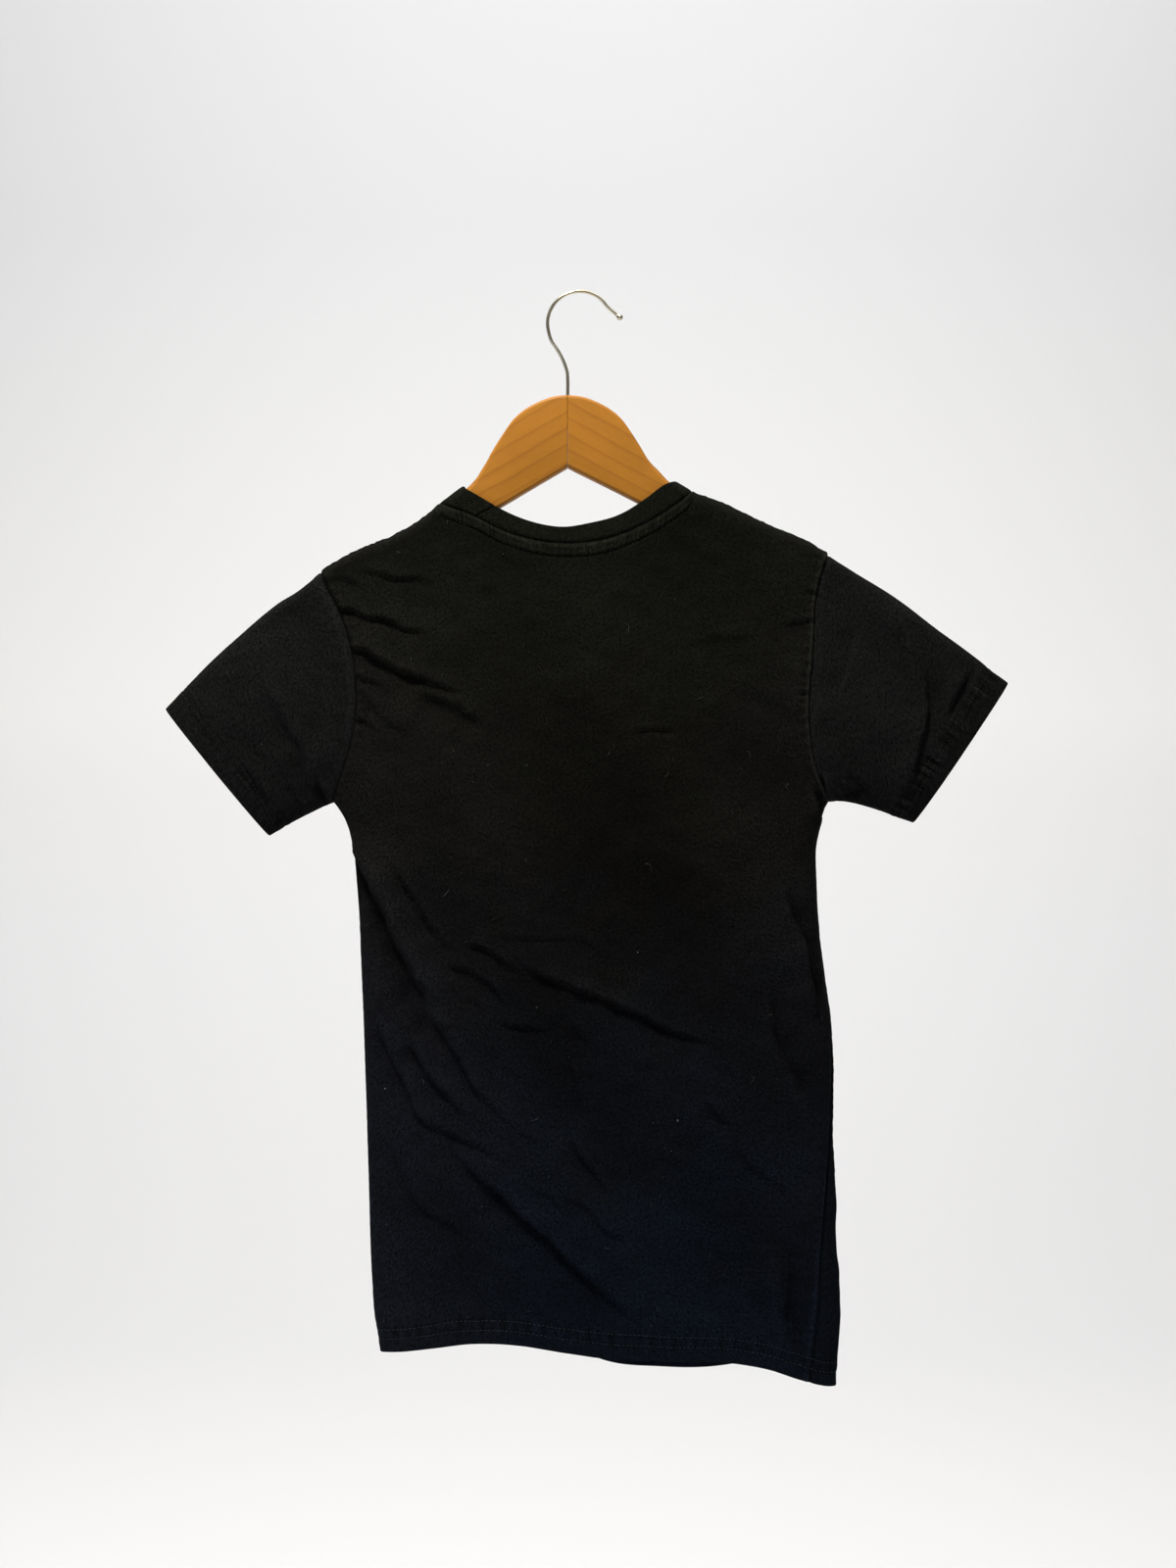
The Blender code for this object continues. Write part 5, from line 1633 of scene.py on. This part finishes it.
def wire_material(colour):
    """Bright nickel plating on drawn steel wire: a mirror with faint draw lines and light handling haze."""
    made, tree, shader = new_material("nickel_plated_steel_wire", Metallic=1.0)
    place = node(tree, "TexCoord")
    haze = node(tree, "TexNoise", Vector=place.outputs["Object"], Scale=90.0, Detail=4.0)
    dull = node(tree, "MapRange", n0=haze, n1=0.3, n2=0.7, n3=0.12, n4=0.3)
    stops = (0.35, shade(colour, 0.88)), (0.65, colour)
    tone = node(tree, "ValToRGB", {"stops": stops}, Fac=haze)
    set_inputs(tree, shader, Roughness=dull, Base_Color=tone)
    return made


def paper_material(colour):
    """Seamless matt backdrop paper: even and pale, with painted light that makes it palest behind the
    garment's middle.
    """
    made, tree, shader = new_material("matt_backdrop_paper", Roughness=1.0, IOR=1.4, Specular_IOR_Level=0.0)
    body = node(tree, "NewGeometry")
    place = node(tree, "SeparateXYZ", Vector=body.outputs["Position"])
    level = node(tree, "MapRange", n0=place.outputs[2], n1=-1.3, n2=0.9)
    # Painted light on the backdrop: palest at the height of the garment's middle, darker above and below.
    painted_light_by_height = (0.0, 1.01), (0.3, 1.12), (0.5, 1.19), (0.95, 0.98)
    stops = [(part, shade(colour, factor)) for part, factor in painted_light_by_height]
    tone = node(tree, "ValToRGB", {"stops": stops}, Fac=level)
    set_inputs(tree, shader, Base_Color=tone)
    return made


# The cloths made so far, for the pieces that are sewn to them.
CLOTHS = {}


def in_mm(metres):
    """A length of the property groups in the unit of the tables."""
    return metres / MM


class TEE_OT_panels(bpy.types.Operator):
    """Makes the back and front panels of the t-shirt"""

    bl_idname = "tee.panels"
    bl_label = "Back and front panels"

    def execute(self, context):
        tee = context.scene.tee_garment
        # The dyes, with painted warm light at the top, cool light at the hem and paler light at the sides.
        dyes_and_painted_light = tee.top_dye_painted_warm, tee.dye, tee.hem_dye_painted_cool, tee.side_dye_painted_paler, tee.low_side_dye_painted_cool
        jersey = jersey_material("washed_black_single_jersey", dyes_and_painted_light, *JERSEY_KNIT)
        walls = in_mm(tee.jersey_wall), in_mm(tee.hem_wall)
        for face, name in ((BACK, "back_panel"), (FRONT, "front_panel")):
            cloth, neck = panel(face, tee.crease_depth, walls)
            CLOTHS[face] = cloth
            CLOTHS["neck", face] = neck
            made = cloth_object("tee_" + name, cloth, jersey, name)
        return {"FINISHED"}


class TEE_OT_sleeves(bpy.types.Operator):
    """Makes the two short sleeves"""

    bl_idname = "tee.sleeves"
    bl_label = "Sleeves"

    def execute(self, context):
        tee = context.scene.tee_garment
        # Painted light: the sleeves' jersey is a paler copy of the body's.
        faded_and_painted_paler = jersey_material("black_single_jersey_painted_paler", [tee.sleeve_dye_painted_paler] * 5, *JERSEY_KNIT)
        panels = {face: CLOTHS[face] for face in (BACK, FRONT)}
        walls = in_mm(tee.jersey_wall), in_mm(tee.hem_wall)
        for side in (LEFT, RIGHT):
            name = "sleeve_" + SIDE_NAME[side]
            cloth = sleeve(side, panels, tee.crease_depth, walls)
            CLOTHS[name] = cloth
            made = cloth_object("tee_" + name, cloth, faded_and_painted_paler, name)
        return {"FINISHED"}


class TEE_OT_neckband(bpy.types.Operator):
    """Makes the doubled rib neckband"""

    bl_idname = "tee.neckband"
    bl_label = "Neckband"

    def execute(self, context):
        tee = context.scene.tee_garment
        rib = jersey_material("washed_black_one_by_one_rib", [tee.rib_dye] * 5, *RIB_KNIT)
        panels = {face: CLOTHS[face] for face in (BACK, FRONT)}
        necks = {face: CLOTHS["neck", face] for face in (BACK, FRONT)}
        cloth = neckband(panels, necks, in_mm(tee.rib_wall))
        CLOTHS["neckband"] = cloth
        made = cloth_object("tee_neckband", cloth, rib, "neckband")
        return {"FINISHED"}


class TEE_OT_stitching(bpy.types.Operator):
    """Sews the hem, the cuffs and the taped back neck"""

    bl_idname = "tee.stitching"
    bl_label = "Stitching"

    def execute(self, context):
        tee = context.scene.tee_garment
        # Painted sheen: the hem thread is painted paler than the dark thread.
        faded_and_painted_paler = thread_material("black_polyester_thread_painted_sheen", tee.thread)
        dark = thread_material("black_polyester_thread", tee.dark_thread)
        back, front = CLOTHS[BACK], CLOTHS[FRONT]
        neck = CLOTHS["neck", BACK]
        row = int(np.argmin(abs(DEPTHS - NECK_STITCH)))
        points, normals = grid_line(back, row)
        inset = 4
        neck_line = points[neck][inset:-inset], normals[neck][inset:-inset]
        hems = [grid_line(cloth, row_at(cloth, d)) for cloth in (back, front) for d in HEM_STITCHES]
        sleeves = [CLOTHS["sleeve_left"], CLOTHS["sleeve_right"]]
        cuffs = [grid_line(cloth, row_at(cloth, d)) for cloth in sleeves for d in CUFF_STITCHES]
        pitch = in_mm(tee.stitch_pitch)
        for name, lines, seed, thread in (
            ("neck_topstitch", [neck_line], 3, dark),
            ("hem_stitches", hems, 4, faded_and_painted_paler),
            ("cuff_stitches", cuffs, 5, dark),
        ):
            verts, faces = stitch_mesh(lines, pitch, THREAD_RADIUS, seed)
            made = mesh_object("tee_" + name, verts, faces, thread)
            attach(made, "root")
        return {"FINISHED"}


class TEE_OT_lint(bpy.types.Operator):
    """Scatters the lint that black cotton picks up"""

    bl_idname = "tee.lint"
    bl_label = "Lint"

    def execute(self, context):
        tee = context.scene.tee_garment
        chance = np.random.default_rng(11)
        verts, faces = [], []
        back = CLOTHS[BACK]
        for x, z, length, curl, heading, radius in zip(*BACK_FIBRES.values()):
            place = on_cloth(back, *nearest_place(back, x, z))
            add_fibre(verts, faces, *place, length, curl, heading, radius)
        for x, z, radius in zip(*BACK_SPECKS.values()):
            add_speck(verts, faces, *on_cloth(back, *nearest_place(back, x, z)), radius)
        spots = [(BACK, 0.4), (FRONT, 0.34), ("sleeve_left", 0.12), ("sleeve_right", 0.14)]
        for key, share in spots:
            cloth = CLOTHS[key]
            rows, columns = cloth.points.shape[:2]
            for _ in range(int(tee.lint_count * share)):
                i, j = chance.integers(4, rows - 6), chance.integers(0, columns - 1)
                place = on_cloth(cloth, i, j)
                if chance.random() < 0.72:
                    length = 1.2 + 3.8 * chance.random() ** 2
                    curl, heading = chance.normal(0, 1.5), chance.random() * 2 * pi
                    add_fibre(verts, faces, *place, length, curl, heading, 0.05 + 0.04 * chance.random())
                else:
                    add_speck(verts, faces, *place, 0.08 + 0.2 * chance.random() ** 3)
        made = mesh_object("tee_lint", np.concatenate(verts) * MM, faces, lint_material(tee.lint))
        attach(made, "root")
        return {"FINISHED"}


class TEE_OT_hanger(bpy.types.Operator):
    """Makes the mitred wooden hanger and its wire hook"""

    bl_idname = "tee.hanger"
    bl_label = "Hanger"

    def execute(self, context):
        hanger = context.scene.tee_hanger
        for side in (LEFT, RIGHT):
            name = "hanger_arm_" + SIDE_NAME[side]
            wood = wood_material("honey_varnished_beech_" + SIDE_NAME[side], side, hanger.wood, hanger.grain)
            verts, faces = hanger_arm(side, in_mm(hanger.thickness))
            made = mesh_object("wooden_" + name, verts * MM, faces, wood)
            made.data.set_sharp_from_angle(angle=pi / 3)
            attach(made, "root")
            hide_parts(name)
        verts, faces = hook_mesh(in_mm(hanger.wire) / 2)
        made = mesh_object("wire_hook", verts * MM, faces, wire_material(hanger.plating))
        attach(made, "root")
        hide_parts("hanger_hook")
        return {"FINISHED"}


def area_light(name, place, target, size, power, colour):
    """A soft square light that faces a point."""
    lamp = bpy.data.lights.new(name, "AREA")
    lamp.energy = power
    lamp.size = size
    lamp.color = linear(colour)
    made = bpy.data.objects.new(name, lamp)
    made.location = Vector(place)
    made.rotation_euler = (Vector(target) - Vector(place)).to_track_quat("-Z", "Y").to_euler()
    bpy.context.scene.collection.objects.link(made)


class TEE_OT_stage(bpy.types.Operator):
    """Sets the pale floor and backdrop, the soft lights and the camera"""

    bl_idname = "tee.stage"
    bl_label = "Stage"

    def execute(self, context):
        stage = context.scene.tee_stage
        turn = np.linspace(0, pi / 2, 24)
        sweep = 900.0
        profile = [(-5200.0, FLOOR_Z)]
        profile += [
            (BACKDROP_Y - sweep + sweep * np.sin(a), FLOOR_Z + sweep - sweep * np.cos(a)) for a in turn
        ]
        profile += [(BACKDROP_Y, 4200.0)]
        verts = [(x, y, z) for x in (-6500.0, 6500.0) for y, z in profile]
        count = len(profile)
        faces = [(i, i + count, i + count + 1, i + 1) for i in range(count - 1)]
        floor = mesh_object("studio_sweep", np.array(verts) * MM, faces, paper_material(stage.paper))

        middle = (0.0, 0.0, CAMERA_Z * MM)
        area_light("key_overhead", (-0.3, -0.64, 1.15), middle, 0.3, stage.key_power, "#fff6ea")
        area_light("fill_left", (-1.0, -1.1, -0.5), (0, 0, -0.5), 0.9, stage.fill_power, "#dce8ff")
        area_light("backdrop_light", (0.0, 0.5, 2.5), (0, 2.6, -0.1), 3.0, stage.backdrop_power, "#ffffff")

        world = bpy.data.worlds.new("pale_room")
        world.use_nodes = True
        room = world.node_tree.nodes["Background"]
        room.inputs["Color"].default_value = (*linear("#f2f3f4"), 1.0)
        room.inputs["Strength"].default_value = stage.room
        context.scene.world = world
        context.scene.view_settings.view_transform = "Standard"

        lens = bpy.data.cameras.new("camera")
        lens.sensor_fit = "VERTICAL"
        lens.angle_y = 2 * np.arctan(stage.frame_height / 2 / stage.distance)
        camera = bpy.data.objects.new("camera", lens)
        camera.location = (CAMERA_X * MM, -stage.distance, CAMERA_Z * MM)
        camera.rotation_euler = (pi / 2, 0, 0)
        context.scene.collection.objects.link(camera)
        context.scene.camera = camera
        return {"FINISHED"}


OPERATORS = (
    TEE_OT_panels,
    TEE_OT_sleeves,
    TEE_OT_neckband,
    TEE_OT_stitching,
    TEE_OT_lint,
    TEE_OT_hanger,
    TEE_OT_stage,
)


class TEE_PT_maker(bpy.types.Panel):
    """The t-shirt's sizes and makers"""

    bl_idname = "TEE_PT_maker"
    bl_label = "Crew neck t-shirt"
    bl_space_type = "VIEW_3D"
    bl_region_type = "UI"
    bl_category = "T-shirt"

    def draw(self, context):
        for holder in (context.scene.tee_garment, context.scene.tee_hanger, context.scene.tee_stage):
            box = self.layout.box()
            for name in holder.__annotations__:
                box.prop(holder, name)
        for maker in OPERATORS:
            self.layout.operator(maker.bl_idname)


CLASSES = (TeeGarment, TeeHanger, TeeStage, *OPERATORS, TEE_PT_maker)


def register():
    for each in CLASSES:
        bpy.utils.register_class(each)
    bpy.types.Scene.tee_garment = PointerProperty(type=TeeGarment)
    bpy.types.Scene.tee_hanger = PointerProperty(type=TeeHanger)
    bpy.types.Scene.tee_stage = PointerProperty(type=TeeStage)


def unregister():
    del bpy.types.Scene.tee_stage
    del bpy.types.Scene.tee_hanger
    del bpy.types.Scene.tee_garment
    for each in reversed(CLASSES):
        bpy.utils.unregister_class(each)


def main():
    register()
    bpy.ops.tee.panels()
    bpy.ops.tee.sleeves()
    bpy.ops.tee.neckband()
    bpy.ops.tee.stitching()
    bpy.ops.tee.lint()
    bpy.ops.tee.hanger()
    bpy.ops.tee.stage()


if __name__ == "__main__":
    main()
